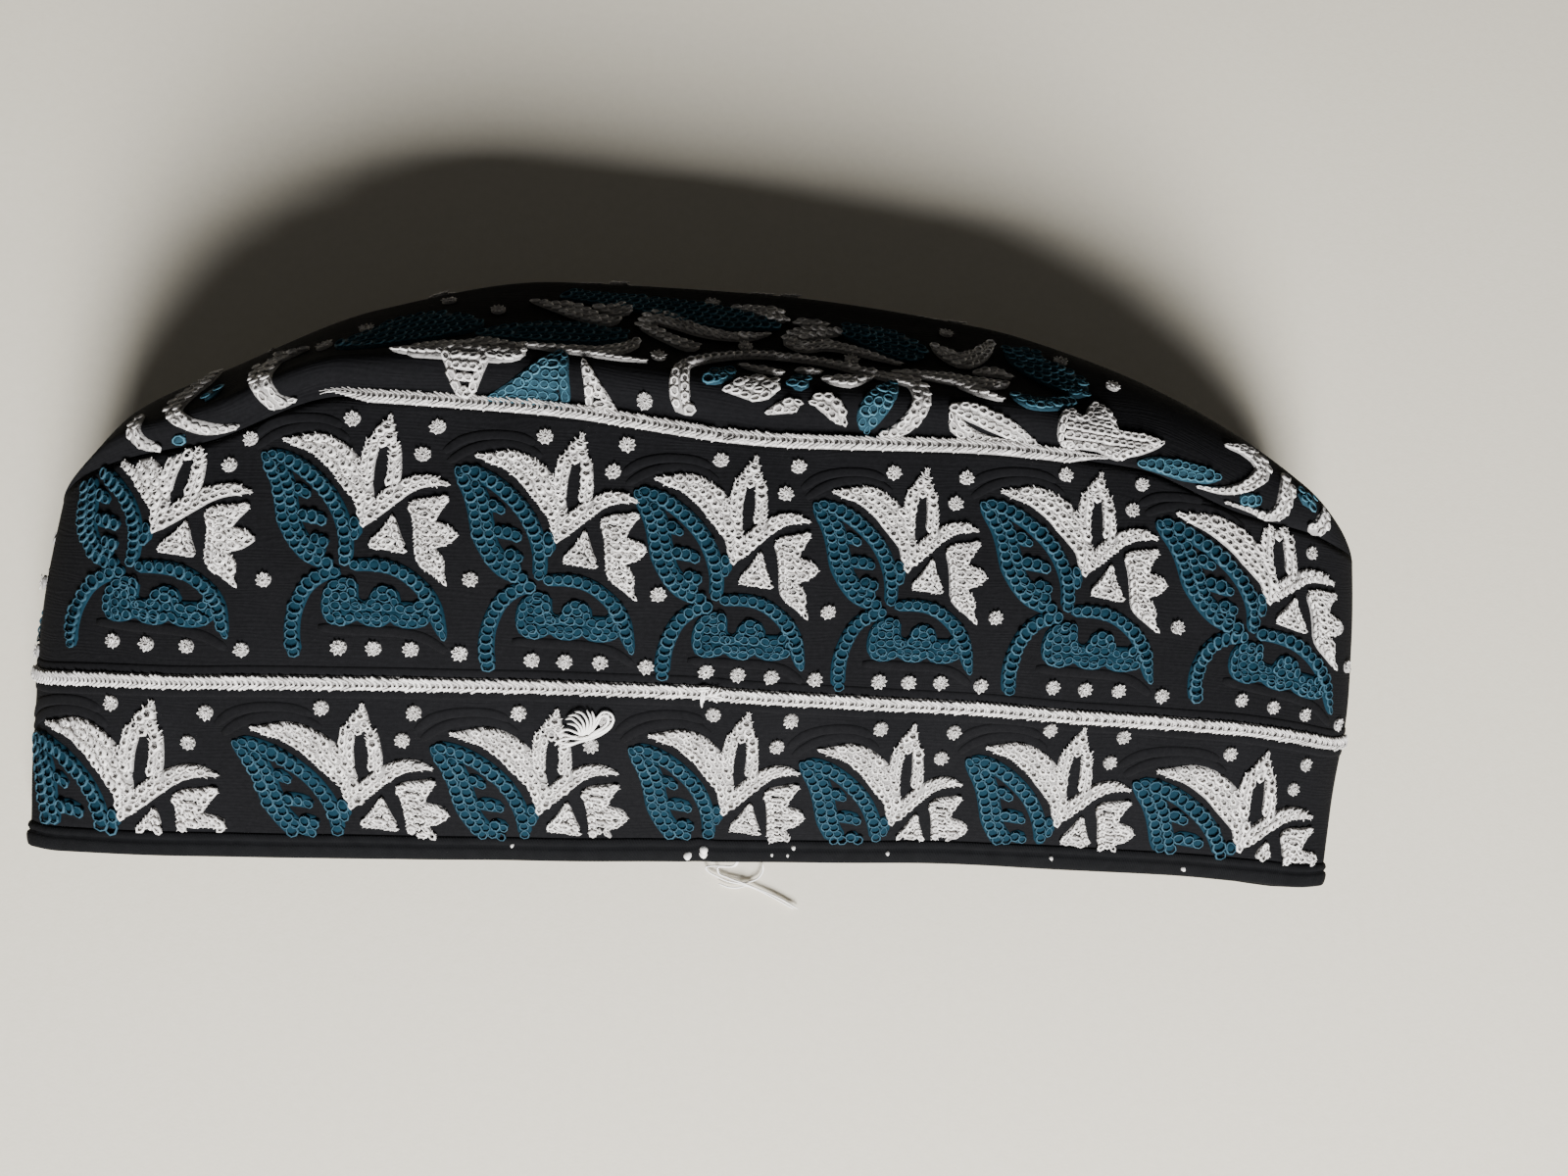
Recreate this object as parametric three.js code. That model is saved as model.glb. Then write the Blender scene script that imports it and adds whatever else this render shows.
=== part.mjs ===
// Round embroidered cap, soft and brimless, lying on its back wall with its rim pressed nearly flat.
// Millimetres. X runs across the cap, Y from the rim to the crown, Z up from the surface it lies on.
import * as THREE from "three";

// Cloth and making-up sizes
const wallThickness = 2.2;
const seamGap = 0.3;
const bindingDepth = 5.6;
const bindingProud = 0.7;
const creaseInset = 5;

// The pressed form of the band
const backWallLean = 10;
const leanPower = 6;
const sideBias = 0.1;
const archPower = 2.2;
const flatPower = 4;
const flatReach = 1.08;

// Mesh density
const acrossSteps = 42;
const bandSteps = 12;
const crownSteps = 20;
const bindingSteps = 5;

// A row for each quarter of the band's height, from the rim to the crown seam:
// half the cap's width, its sideways shift, and how high the front wall and the side creases stand
const bandRows = [
  { along: 0.0, halfWidth: 142, shift: -1.5, height: 15, crease: 5 },
  { along: 0.25, halfWidth: 142.5, shift: -0.8, height: 31, crease: 8 },
  { along: 0.5, halfWidth: 143, shift: 0.2, height: 44, crease: 12 },
  { along: 0.75, halfWidth: 142, shift: 1, height: 52, crease: 17 },
  { along: 1.0, halfWidth: 139.5, shift: 2, height: 57, crease: 21 },
];

// A row for each fold line from the rim to the crown's edge, from the left crease to the right one:
// where the rim, the crown seam and the crown's edge lie, how high that edge is, and how far the
// corner roll stands up
const foldRows = [
  { across: -1.0, rim: 0, seam: 67.5, edge: 67.8, edgeHeight: 21, roll: 0 },
  { across: -0.95, rim: -0.8, seam: 70, edge: 74.8, edgeHeight: 23, roll: 1.6 },
  { across: -0.87, rim: -0.9, seam: 72, edge: 89, edgeHeight: 24, roll: 4 },
  { across: -0.75, rim: -1, seam: 74.5, edge: 98, edgeHeight: 26, roll: 4.2 },
  { across: -0.56, rim: -0.7, seam: 84.5, edge: 112.5, edgeHeight: 27, roll: 1.5 },
  { across: -0.3, rim: 0, seam: 84, edge: 121.7, edgeHeight: 28, roll: 0.4 },
  { across: 0.0, rim: 0.8, seam: 81, edge: 122.7, edgeHeight: 28, roll: 0 },
  { across: 0.35, rim: 1.7, seam: 83, edge: 119, edgeHeight: 28, roll: 0.4 },
  { across: 0.56, rim: 1, seam: 82, edge: 111, edgeHeight: 27, roll: 1.5 },
  { across: 0.75, rim: 0.4, seam: 74.5, edge: 98.8, edgeHeight: 26, roll: 4.2 },
  { across: 0.87, rim: -0.6, seam: 72.8, edge: 89, edgeHeight: 24, roll: 4 },
  { across: 0.95, rim: -1.6, seam: 71.3, edge: 81, edgeHeight: 23, roll: 1.6 },
  { across: 1.0, rim: -1.2, seam: 71.4, edge: 71.7, edgeHeight: 21, roll: 0 },
];

// The slope of a table column at one row, kept flat where the column turns
function columnSlope(rows, key, column, index) {
  const rise = (from) => rows[from + 1][column] - rows[from][column];
  const run = (from) => rows[from + 1][key] - rows[from][key];
  if (index === 0) return rise(0) / run(0);
  if (index === rows.length - 1) return rise(index - 1) / run(index - 1);
  const before = rise(index - 1) / run(index - 1);
  const after = rise(index) / run(index);
  return before * after <= 0 ? 0 : (2 * before * after) / (before + after);
}

// A table column read between its rows as a smooth curve
function readColumn(rows, key, column, at) {
  let index = 0;
  while (index < rows.length - 2 && at > rows[index + 1][key]) index += 1;
  const low = rows[index];
  const high = rows[index + 1];
  const span = high[key] - low[key];
  const t = Math.min(Math.max((at - low[key]) / span, 0), 1);
  const startSlope = columnSlope(rows, key, column, index) * span;
  const endSlope = columnSlope(rows, key, column, index + 1) * span;
  const t2 = t * t;
  const t3 = t2 * t;
  return (
    (2 * t3 - 3 * t2 + 1) * low[column] +
    (t3 - 2 * t2 + t) * startSlope +
    (3 * t2 - 2 * t3) * high[column] +
    (t3 - t2) * endSlope
  );
}

// A point of the pressed tube that the band follows. across runs from -1 at the left crease to 1 at
// the right one, along from 0 at the rim to 1 at the crown seam, and depth goes inward from the cloth's
// outer face.
function tubePoint(across, isFront, along, depth) {
  const level = Math.min(Math.max(along, 0), 1);
  const row = (column) => readColumn(bandRows, "along", column, level);
  const halfWidth = row("halfWidth") - (creaseInset * depth) / wallThickness;
  const crease = row("crease");
  const fullHeight = row("height") * (1 - sideBias * across * level);
  const reach = Math.abs(across);
  const arch = Math.sqrt(Math.max(1 - reach ** archPower, 0));
  const flat = Math.min(1, flatReach * Math.max(1 - reach ** flatPower, 0) ** (1 / flatPower));
  const z = isFront
    ? crease + (fullHeight - depth - crease) * arch
    : crease - (crease - depth) * flat;
  const rim = readColumn(foldRows, "across", "rim", across);
  const seam = readColumn(foldRows, "across", "seam", across);
  const lean = backWallLean * (1 - z / fullHeight) * (1 - reach ** leanPower);
  return new THREE.Vector3(halfWidth * across + row("shift"), rim + along * (seam + lean - rim), z);
}

// The crown's cloth over one line from the front seam, around the crown's edge, to the back seam.
// turn runs from 0 to PI.
function crownPoint(across, turn, depth) {
  const row = (column) => readColumn(foldRows, "across", column, across);
  const front = turn <= Math.PI / 2;
  const seam = tubePoint(across, front, 1, depth);
  const outwardShare = Math.sin(turn);
  const heightShare = Math.abs(Math.cos(turn));
  const seamReach = tubePoint(across, false, 1, depth).y + seamGap;
  const edge = Math.max(row("edge") - depth, seamReach);
  const edgeHeight = row("edgeHeight");
  const roll = front ? row("roll") * Math.sin(2 * turn) ** 0.7 : 0;
  return new THREE.Vector3(
    seam.x,
    seam.y + seamGap + (edge - seam.y - seamGap) * outwardShare,
    edgeHeight + (seam.z - edgeHeight) * heightShare + roll,
  );
}

// The places around the pressed tube, closer together at the two creases
function loopPlaces() {
  const places = [];
  for (let step = 0; step < acrossSteps; step += 1) {
    places.push({ across: -Math.cos((Math.PI * step) / acrossSteps), isFront: true });
  }
  for (let step = 0; step < acrossSteps; step += 1) {
    places.push({ across: Math.cos((Math.PI * step) / acrossSteps), isFront: false });
  }
  return places;
}

// A closed shell from rings of points, each ring joined to the next and the last to the first
function ringShell(rings) {
  const count = rings[0].length;
  const positions = rings.flat().flatMap((point) => [point.x, point.y, point.z]);
  const indices = [];
  for (let ring = 0; ring < rings.length; ring += 1) {
    const next = (ring + 1) % rings.length;
    for (let step = 0; step < count; step += 1) {
      const a = ring * count + step;
      const b = ring * count + ((step + 1) % count);
      const c = next * count + ((step + 1) % count);
      const d = next * count + step;
      indices.push(a, b, c, a, c, d);
    }
  }
  return indexedGeometry(positions, indices);
}

function indexedGeometry(positions, indices) {
  const geometry = new THREE.BufferGeometry();
  geometry.setAttribute("position", new THREE.Float32BufferAttribute(positions, 3));
  geometry.setIndex(indices);
  geometry.computeVertexNormals();
  return geometry;
}

// The share of the band's height at a distance from the rim
function alongAt(across, distance) {
  const rim = readColumn(foldRows, "across", "rim", across);
  return distance / (readColumn(foldRows, "across", "seam", across) - rim);
}

// The band: a cloth tube from the binding's top to the crown seam
function bandGeometry() {
  const places = loopPlaces();
  const ringAt = (share, depth) =>
    places.map(({ across, isFront }) => {
      const start = alongAt(across, bindingDepth + seamGap);
      return tubePoint(across, isFront, start + (1 - start) * share, depth);
    });
  const outer = [];
  const inner = [];
  for (let step = 0; step <= bandSteps; step += 1) {
    outer.push(ringAt(step / bandSteps, 0));
    inner.push(ringAt(1 - step / bandSteps, wallThickness));
  }
  return ringShell([...outer, ...inner]);
}

// The rim binding: a padded tape folded over the band's raw edge, proud of the cloth on its outside
function bindingGeometry() {
  const places = loopPlaces();
  const outerHalf = [];
  const innerHalf = [];
  for (let step = 0; step <= bindingSteps; step += 1) {
    const share = step / bindingSteps;
    const swell = Math.sin(Math.PI * share) ** 0.5;
    const ringAt = (depth) =>
      places.map(({ across, isFront }) => {
        const along = alongAt(across, bindingDepth * share);
        const point = tubePoint(across, isFront, along, depth);
        if (depth > 0) return point;
        const lift = bindingProud * swell * (isFront ? 1 : 0);
        const spread = bindingProud * swell * Math.abs(across) ** 20;
        return new THREE.Vector3(point.x + Math.sign(across) * spread, point.y, point.z + lift);
      });
    outerHalf.push(ringAt(0));
    innerHalf.unshift(ringAt(wallThickness));
  }
  return ringShell([...outerHalf, ...innerHalf]);
}

// The crown: a domed cloth cap over the seam ring, puffed into a roll at each corner
function crownGeometry() {
  const positions = [];
  const indices = [];
  const lines = acrossSteps - 1;
  const perLine = crownSteps + 1;
  const addPoint = (point) => positions.push(point.x, point.y, point.z) / 3 - 1;
  const layer = (depth) => {
    const first = positions.length / 3;
    for (let line = 1; line <= lines; line += 1) {
      const across = -Math.cos((Math.PI * line) / acrossSteps);
      for (let step = 0; step <= crownSteps; step += 1) {
        addPoint(crownPoint(across, (Math.PI * step) / crownSteps, depth));
      }
    }
    const left = addPoint(crownPoint(-1, 0, depth));
    const right = addPoint(crownPoint(1, 0, depth));
    return { left, right, at: (line, step) => first + line * perLine + step };
  };
  const face = (a, b, c, flip) => indices.push(...(flip ? [a, c, b] : [a, b, c]));
  const skin = ({ left, right, at }, flip) => {
    for (let step = 0; step < crownSteps; step += 1) {
      face(left, at(0, step), at(0, step + 1), flip);
      face(right, at(lines - 1, step + 1), at(lines - 1, step), flip);
      for (let line = 0; line < lines - 1; line += 1) {
        face(at(line, step), at(line + 1, step), at(line + 1, step + 1), flip);
        face(at(line, step), at(line + 1, step + 1), at(line, step + 1), flip);
      }
    }
  };
  const outer = layer(0);
  const inner = layer(wallThickness);
  skin(outer, false);
  skin(inner, true);
  const seamRing = ({ left, right, at }) => {
    const ring = [left];
    for (let line = 0; line < lines; line += 1) ring.push(at(line, 0));
    ring.push(right);
    for (let line = lines - 1; line >= 0; line -= 1) ring.push(at(line, crownSteps));
    return ring;
  };
  const outerRing = seamRing(outer);
  const innerRing = seamRing(inner);
  outerRing.forEach((start, index) => {
    const next = (index + 1) % outerRing.length;
    face(start, innerRing[index], innerRing[next], false);
    face(start, innerRing[next], outerRing[next], false);
  });
  return indexedGeometry(positions, indices);
}

function clothPiece(name, geometry, color, roughness) {
  const material = new THREE.MeshStandardMaterial({ color, roughness, metalness: 0 });
  const piece = new THREE.Mesh(geometry, material);
  piece.name = name;
  return piece;
}

const cap = new THREE.Group();
cap.add(clothPiece("band", bandGeometry(), "#1d1e23", 0.88));
cap.add(clothPiece("crown", crownGeometry(), "#1c1d21", 0.88));
cap.add(clothPiece("rim_binding", bindingGeometry(), "#141518", 0.8));

// The origin goes under the middle of the cap's box
const middle = new THREE.Box3().setFromObject(cap).getCenter(new THREE.Vector3());
cap.position.set(-middle.x, -middle.y, 0);

export default cap;
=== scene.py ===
import logging
import math
from dataclasses import dataclass
from enum import Enum

import bpy
import numpy as np
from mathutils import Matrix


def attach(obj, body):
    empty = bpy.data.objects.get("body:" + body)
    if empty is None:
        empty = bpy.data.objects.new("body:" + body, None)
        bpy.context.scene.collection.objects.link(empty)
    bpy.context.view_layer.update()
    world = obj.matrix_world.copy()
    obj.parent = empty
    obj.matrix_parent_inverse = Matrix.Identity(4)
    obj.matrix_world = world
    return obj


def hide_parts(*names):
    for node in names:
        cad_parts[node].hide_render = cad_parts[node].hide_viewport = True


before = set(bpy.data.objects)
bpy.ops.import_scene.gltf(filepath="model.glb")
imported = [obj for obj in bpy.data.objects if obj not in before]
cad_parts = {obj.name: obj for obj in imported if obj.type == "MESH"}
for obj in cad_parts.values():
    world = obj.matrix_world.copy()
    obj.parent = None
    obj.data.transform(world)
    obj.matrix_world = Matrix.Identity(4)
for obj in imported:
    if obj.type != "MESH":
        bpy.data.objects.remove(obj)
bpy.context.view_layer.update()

LOG = logging.getLogger("kuma_cap")
MM = 0.001
BODY = "root"

UV_STEP = 0.01  # of the cloth's UV map, for each millimetre

Array = np.ndarray
Faces = list[tuple[int, ...]]
Rows = tuple[tuple[float, ...], ...]
Solid = tuple[Array, Faces]
Spots = list[tuple[float, float]]


class Thread(Enum):
    """The threads that the embroidery is sewn with."""

    WHITE = "white_thread"
    TEAL = "teal_thread"
    BLACK = "black_cloth"


def distances(points: Array, axis: int = 0) -> Array:
    """Give how far each point is along the line that the points make.

    Args:
        points: The points, with their coordinates on the last axis.
        axis: The axis that the line runs along.

    Returns:
        Distances from the first point.
    """
    steps = np.linalg.norm(np.diff(points, axis=axis), axis=-1)
    start = np.zeros_like(np.take(steps, [0], axis=axis))
    return np.concatenate([start, np.cumsum(steps, axis)], axis)


def smooth(key: Array, values: Array, slopes: Array, low: Array, at: Array) -> Array:
    """Read a smooth curve between its rows.

    Args:
        key: The key of each row.
        values: The curve's value, or its values, at each row.
        slopes: Its slopes there.
        low: The row before each place that is read.
        at: The keys of those places.

    Returns:
        The curve's values.
    """
    span = key[low + 1] - key[low]
    shape = span.shape + (1,) * (values.ndim - 1)
    t, span = ((at - key[low]) / span).reshape(shape), span.reshape(shape)
    ends = (2 * t**3 - 3 * t**2 + 1) * values[low] + (3 * t**2 - 2 * t**3) * values[low + 1]
    turns = (t**3 - 2 * t**2 + t) * slopes[low] + (t**3 - t**2) * slopes[low + 1]
    return ends + turns * span


# Shape tables, in millimetres


class Table:
    """A short table of rows, read between its rows as smooth curves."""

    def __init__(self, columns: tuple[str, ...], rows: Rows) -> None:
        """Keep the columns by name; the first one is the key."""
        self.key = np.array([row[0] for row in rows])
        self.columns = {name: np.array(values) for name, values in zip(columns, zip(*rows))}
        self.slopes = {name: self._slopes(values) for name, values in self.columns.items()}

    def _slopes(self, values: Array) -> Array:
        """Give the slope at each row, kept flat where the column turns.

        Args:
            values: One column of the table.

        Returns:
            The slope at each row.
        """
        steps = np.diff(values) / np.diff(self.key)
        slopes = np.zeros(len(values))
        slopes[0], slopes[-1] = steps[0], steps[-1]
        for index in range(1, len(values) - 1):
            before, after = steps[index - 1], steps[index]
            if before * after > 0:
                slopes[index] = 2 * before * after / (before + after)
        return slopes

    def read(self, column: str, at: Array) -> Array:
        """Read one column between the rows.

        Args:
            column: The column's name.
            at: Values of the key.

        Returns:
            The column's smooth values there.
        """
        key = self.key
        at = np.clip(at, key[0], key[-1])
        low = np.clip(np.searchsorted(key, at, side="left") - 1, 0, len(key) - 2)
        return smooth(key, self.columns[column], self.slopes[column], low, at)


BAND_ROWS = Table(
    ("along", "half_width", "shift", "height", "crease"),
    (
        (0.0, 142, -1.5, 15, 5),
        (0.25, 142.5, -0.8, 31, 8),
        (0.5, 143, 0.2, 44, 12),
        (0.75, 142, 1, 52, 17),
        (1.0, 139.5, 2, 57, 21),
    ),
)

FOLD_ROWS = Table(
    ("across", "rim", "seam", "edge", "edge_height", "roll"),
    (
        (-1.0, 0, 67.5, 67.8, 21, 0),
        (-0.95, -0.8, 70, 74.8, 23, 1.6),
        (-0.87, -0.9, 72, 89, 24, 4),
        (-0.75, -1, 74.5, 98, 26, 4.2),
        (-0.56, -0.7, 84.5, 112.5, 27, 1.5),
        (-0.3, 0, 84, 121.7, 28, 0.4),
        (0.0, 0.8, 81, 122.7, 28, 0),
        (0.35, 1.7, 83, 119, 28, 0.4),
        (0.56, 1, 82, 111, 27, 1.5),
        (0.75, 0.4, 74.5, 98.8, 26, 4.2),
        (0.87, -0.6, 72.8, 89, 24, 4),
        (0.95, -1.6, 71.3, 81, 23, 1.6),
        (1.0, -1.2, 71.4, 71.7, 21, 0),
    ),
)

# Where each lily of the band has its tip, how wide and how tall its motif is drawn, its lean and its tilt.
UPPER_TIPS = (
    (-107.7, 89.2, 1.26, 0.93, 0.165),
    (-70, 93, 1.05),
    (-33.5, 91.4, 1),
    (0.1, 88.6, 0.98),
    (34.6, 87.2, 0.97, 0.97),
    (72.4, 88.6, 1.13),
    (118.3, 83.6, 1.42, 0.92, -0.01, -0.139),
)
LOWER_TIPS = (
    (-113.6, 33.6, 1.32, 1.13, 0.25),
    (-71.3, 34.3, 1.15),
    (-33.6, 34, 1.07),
    (4, 34.7, 1),
    (38.3, 32.2, 1, 1, -0.07),
    (75.1, 33, 1.08, 1, -0.09),
    (120.8, 29.9, 1.4, 1, -0.11),
)

# One motif of the band, drawn from its lily's tip. A row of three numbers is a ribbon's place along the
# band, its place up it and its half width. A row of two is a corner of an outline.
LILY_ROWS = {
    "left_petal": (
        (-20, -5.4, 0.2), (-17.3, -5.8, 1.1), (-14, -6, 2.1), (-11.2, -7.2, 2.7), (-8.8, -9, 2.9),
        (-6.6, -11.4, 3.1), (-4.7, -14.2, 2.7), (-3.4, -17.2, 1.9), (-3.3, -19.8, 1.3), (-3.1, -22.4, 0.5),
    ),
    "top_petal": ((-0.6, 0.3, 0.2), (-0.8, -1.5, 1), (-1.2, -3.4, 2.1), (-1.4, -5.6, 2.9)),
    "top_petal_left": (
        (-3.2, -5.2, 1.4), (-3.4, -7, 1.5), (-3.6, -9, 1.4), (-3.5, -11.5, 1.3), (-3.2, -14.5, 1.1),
    ),
    "top_petal_right": (
        (0.7, -5, 1.1), (0.9, -6.6, 1.2), (1.2, -8.8, 1.25), (1.4, -11.5, 1.35), (1.2, -14, 1.4),
    ),
    "right_petal": (
        (11.3, -13.3, 0.2), (9.8, -12.9, 0.7), (8.4, -12.7, 1.2), (6, -13, 1.45), (4, -14, 1.6),
        (2, -15.6, 1.8), (0.2, -17.4, 1.8), (-1.3, -19.2, 1.6), (-2.3, -20.9, 1), (-3, -22.4, 0.4),
    ),
    "wedge": ((2.2, -19.4), (0.2, -22.8), (-2, -26.5), (1.5, -27.2), (5, -27.5), (3.7, -23.5)),
    "flower": (
        (4.2, -17.8), (6, -16.5), (9, -16), (12.2, -15.6), (11.2, -17.8), (10.3, -19.6), (10, -20.6),
        (12.8, -21.7), (14.2, -23), (12.9, -25.2), (10.4, -26.5), (11.6, -27.8), (12.2, -29.6),
        (12.2, -31.5), (12.8, -33.8), (10.4, -32.2), (7.9, -30.3), (6.6, -28.5), (6.3, -26.5), (6, -24),
        (5.6, -21.5), (5, -19.5),
    ),
}
LEAF_ROWS = {
    "outer": (
        (-23.4, -8.2, 0.6), (-21.8, -10.6, 1.18), (-20.3, -13.3, 1.18), (-19.3, -16, 1.18),
        (-18.5, -19, 1.18), (-17.8, -21.6, 1.22), (-16.5, -24.1, 1.22), (-14.8, -26.6, 1.22),
        (-12.8, -28.6, 1.22), (-10.5, -29.7, 1.18), (-8, -30.4, 1.18),
    ),
    "right": (
        (-22.6, -8.2, 0.8), (-20.3, -8.8, 1.18), (-17.5, -10, 1.28), (-14.8, -11.7, 1.3),
        (-12.3, -13.8, 1.3), (-10.2, -16, 1.28), (-8.6, -18.3, 1.28), (-7.4, -20.6, 1.28), (-6.5, -23, 1.28),
        (-6, -25.5, 1.18), (-5.8, -28, 1.18), (-5.8, -30.2, 1),
    ),
    "inner": (
        (-20, -10.6, 1.05), (-18.9, -12.3, 1.12), (-17.9, -14.2, 1.12), (-17.2, -16.3, 1.12),
        (-16.7, -18.4, 1.05), (-16, -20.7, 1.12), (-15.4, -23, 1.05), (-13.8, -25.5, 1.05),
        (-12, -27.3, 1.1), (-9.6, -28.3, 1.12),
    ),
    "arm_top": ((-16.5, -14.8, 1.1), (-15, -15.8, 1), (-13.5, -16.7, 0.6)),
    "arm_middle": ((-15.2, -20.6, 1.1), (-13.2, -20.8, 1.25), (-11.4, -21.2, 1.15), (-10, -22, 0.7)),
    "arm_low": ((-12.4, -25.3, 1.15), (-10.8, -25.6, 1.2), (-9.2, -26.4, 1)),
    "beside_lily": ((-5, -20.9, 0.9), (-4.4, -23, 1.1), (-4.6, -25.2, 0.7)),
    "stem": (
        (-6.5, -31.7, 1.1), (-9.2, -32.3, 1.2), (-11.3, -33.6, 1.3), (-13, -35.6, 1.3), (-14, -38, 1.3),
        (-14.7, -40.5, 1.3), (-15, -43.5, 1.35), (-14.8, -46.5, 1.3), (-14.2, -49, 1.2),
    ),
    "lobe_top": (
        (-4.9, -30.4, 1), (-2.5, -30.2, 1.05), (0, -30.2, 1.1), (2.3, -30.6, 1.1), (4.5, -31.5, 1.15),
        (6.6, -33, 1.15), (8.5, -34.8, 1.25), (9.9, -36.9, 1.4), (10.9, -39, 1.35), (11.6, -41.2, 1.15),
        (12.3, -43.2, 0.8), (12.9, -44.7, 0.3),
    ),
    "lobe": (
        (-4.6, -32.6), (-7, -33.2), (-8.9, -35), (-9.5, -37.4), (-9.4, -39.8), (-8.5, -41.7), (-6.3, -42.5),
        (-4.3, -42), (-3, -41.2), (-1.8, -42.1), (0, -42.5), (2, -42.2), (3, -41.3), (4.3, -42.3),
        (6.2, -42.6), (8.2, -42.4), (9.8, -41.6), (10.6, -39), (10.3, -37), (9.2, -35.4), (7.8, -37.2),
        (6, -38.2), (4.6, -37.6), (4.2, -35.9), (2.7, -34.5), (0.7, -34.4), (-0.6, -35.6), (-0.9, -37),
        (-1.9, -37.7), (-3, -37), (-3.3, -35.4), (-3.5, -33.6),
    ),
}
CORD_ROWS = {
    "over_petal": (
        (-26.3, -5, 0.5), (-23.6, -2.6, 0.7), (-20.7, -1.5, 0.7), (-16.4, -1, 0.7), (-12, -1.4, 0.7),
        (-9.4, -2.4, 0.5),
    ),
    "by_petal": (
        (-25.2, -7, 0.5), (-22.4, -4.7, 0.7), (-19.2, -3.3, 0.7), (-15.2, -2.7, 0.7), (-11.2, -3.2, 0.6),
        (-7.8, -5.2, 0.5),
    ),
    "under_lobe": (
        (-10.1, -43.2, 0.5), (-5.1, -43.5, 0.7), (-0.1, -43.6, 0.7), (4.9, -43.8, 0.7), (9.3, -44.8, 0.7),
        (13.3, -47.4, 0.5),
    ),
}
MOTIF_DOTS = (
    (-7.6, -0.8), (8, -1.5), (6, -7.3), (16.9, -32.3), (-6.2, -47), (0.1, -47.1), (6.9, -47), (15.8, -47.5),
)

# The strands of the tuft and of the knot: a place along the band, a place up it and the height over it
TUFT_ROWS = (
    ((-29.4, 28.6, 0.4), (-29, 30.6, 1.6), (-30, 32.4, 1.9), (-31.4, 33, 1.3), (-32.4, 32.4, 0.7)),
    ((-29.2, 28.6, 0.4), (-28.6, 30.8, 1.8), (-29.2, 33, 2), (-30.6, 33.8, 1.4), (-31.9, 33.2, 0.8)),
    ((-29, 28.7, 0.4), (-28.1, 30.9, 1.7), (-28.3, 33.2, 1.8), (-29.5, 34.3, 1.3), (-30.8, 34.1, 0.8)),
    ((-28.8, 28.8, 0.4), (-27.6, 31, 1.4), (-27.5, 33.2, 1.5), (-28.4, 34.7, 1)),
    ((-28.6, 28.9, 0.4), (-27.1, 30.9, 1.1), (-26.8, 32.8, 1.2), (-27.4, 34.4, 0.8)),
    ((-29.5, 28.6, 0.4), (-29.6, 30.4, 1.3), (-30.6, 31.7, 1.5), (-32, 31.6, 0.9)),
    ((-28.8, 28.8, 0.5), (-30.3, 29.9, 1.1), (-32.2, 30.4, 1), (-33.4, 29.7, 0.7), (-32.6, 28.8, 0.6)),
    ((-29, 28.6, 0.6), (-30.9, 29, 1.2), (-32.6, 29.3, 1), (-33.8, 28.9, 0.6)),
    (
        (-34.3, 26.6, 0.6), (-33.4, 27.9, 0.9), (-31.6, 28.5, 1), (-29.2, 28.7, 1.2), (-26.8, 29.3, 0.9),
        (-24.8, 30.3, 0.7), (-23.5, 31.6, 0.6),
    ),
    (
        (-33.6, 26, 0.6), (-31.5, 26.9, 0.9), (-29.1, 28.1, 1.2), (-27.1, 28.7, 1), (-25.1, 29.7, 0.8),
        (-23.6, 31.1, 0.7), (-23, 32.6, 0.6),
    ),
    (
        (-34.6, 27.8, 0.6), (-32.5, 27.3, 1), (-30.5, 27.7, 1.3), (-28.4, 28.5, 1), (-26.4, 30.1, 0.9),
        (-24.6, 31.2, 0.7),
    ),
    (
        (-28.5, 28.4, 0.6), (-26.6, 29.6, 0.9), (-24.4, 30.8, 0.9), (-23.1, 32.6, 0.8), (-23.7, 34, 0.8),
        (-25.2, 34.3, 0.8), (-26.3, 33, 0.9), (-27, 31, 0.9), (-27.8, 29.3, 0.7),
    ),
    (
        (-28, 28.7, 0.6), (-25.8, 30.4, 0.7), (-24.2, 32, 0.7), (-24.3, 33.4, 0.6), (-25.4, 33.4, 0.7),
        (-26.2, 31.8, 0.7), (-27.3, 29.7, 0.6),
    ),
)
KNOT_ROWS = (
    ((-7.4, 39.9, 0.9), (-6.1, 40.1, 1.4), (-4.9, 39.9, 0.9)),
    ((-7.3, 39.4, 0.9), (-6.1, 39.6, 1.4), (-5, 39.4, 0.9)),
    ((-6.4, 39.4, 0.9), (-6.4, 37.9, 1.3), (-6.2, 36.5, 0.8), (-6, 35.5, 0.4)),
    ((-5.8, 39.4, 0.9), (-5.9, 37.9, 1.3), (-5.9, 36.7, 0.8)),
    ((-5.2, 38.2, 1), (-4, 38.7, 1.5), (-3.1, 40.3, 1.2)),
    ((-4.9, 38.4, 1), (-3.7, 38.9, 1.5), (-2.4, 39.5, 1.1)),
    ((-4.9, 38.3, 1), (-3.6, 38.5, 1.5), (-2.4, 38.2, 1)),
    ((-4.8, 38.1, 1), (-4, 37.9, 1.4), (-3.2, 37, 0.9)),
    ((-5.2, 38.1, 1), (-4.7, 38.9, 1.5), (-4.3, 40.2, 1.1)),
)
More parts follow.
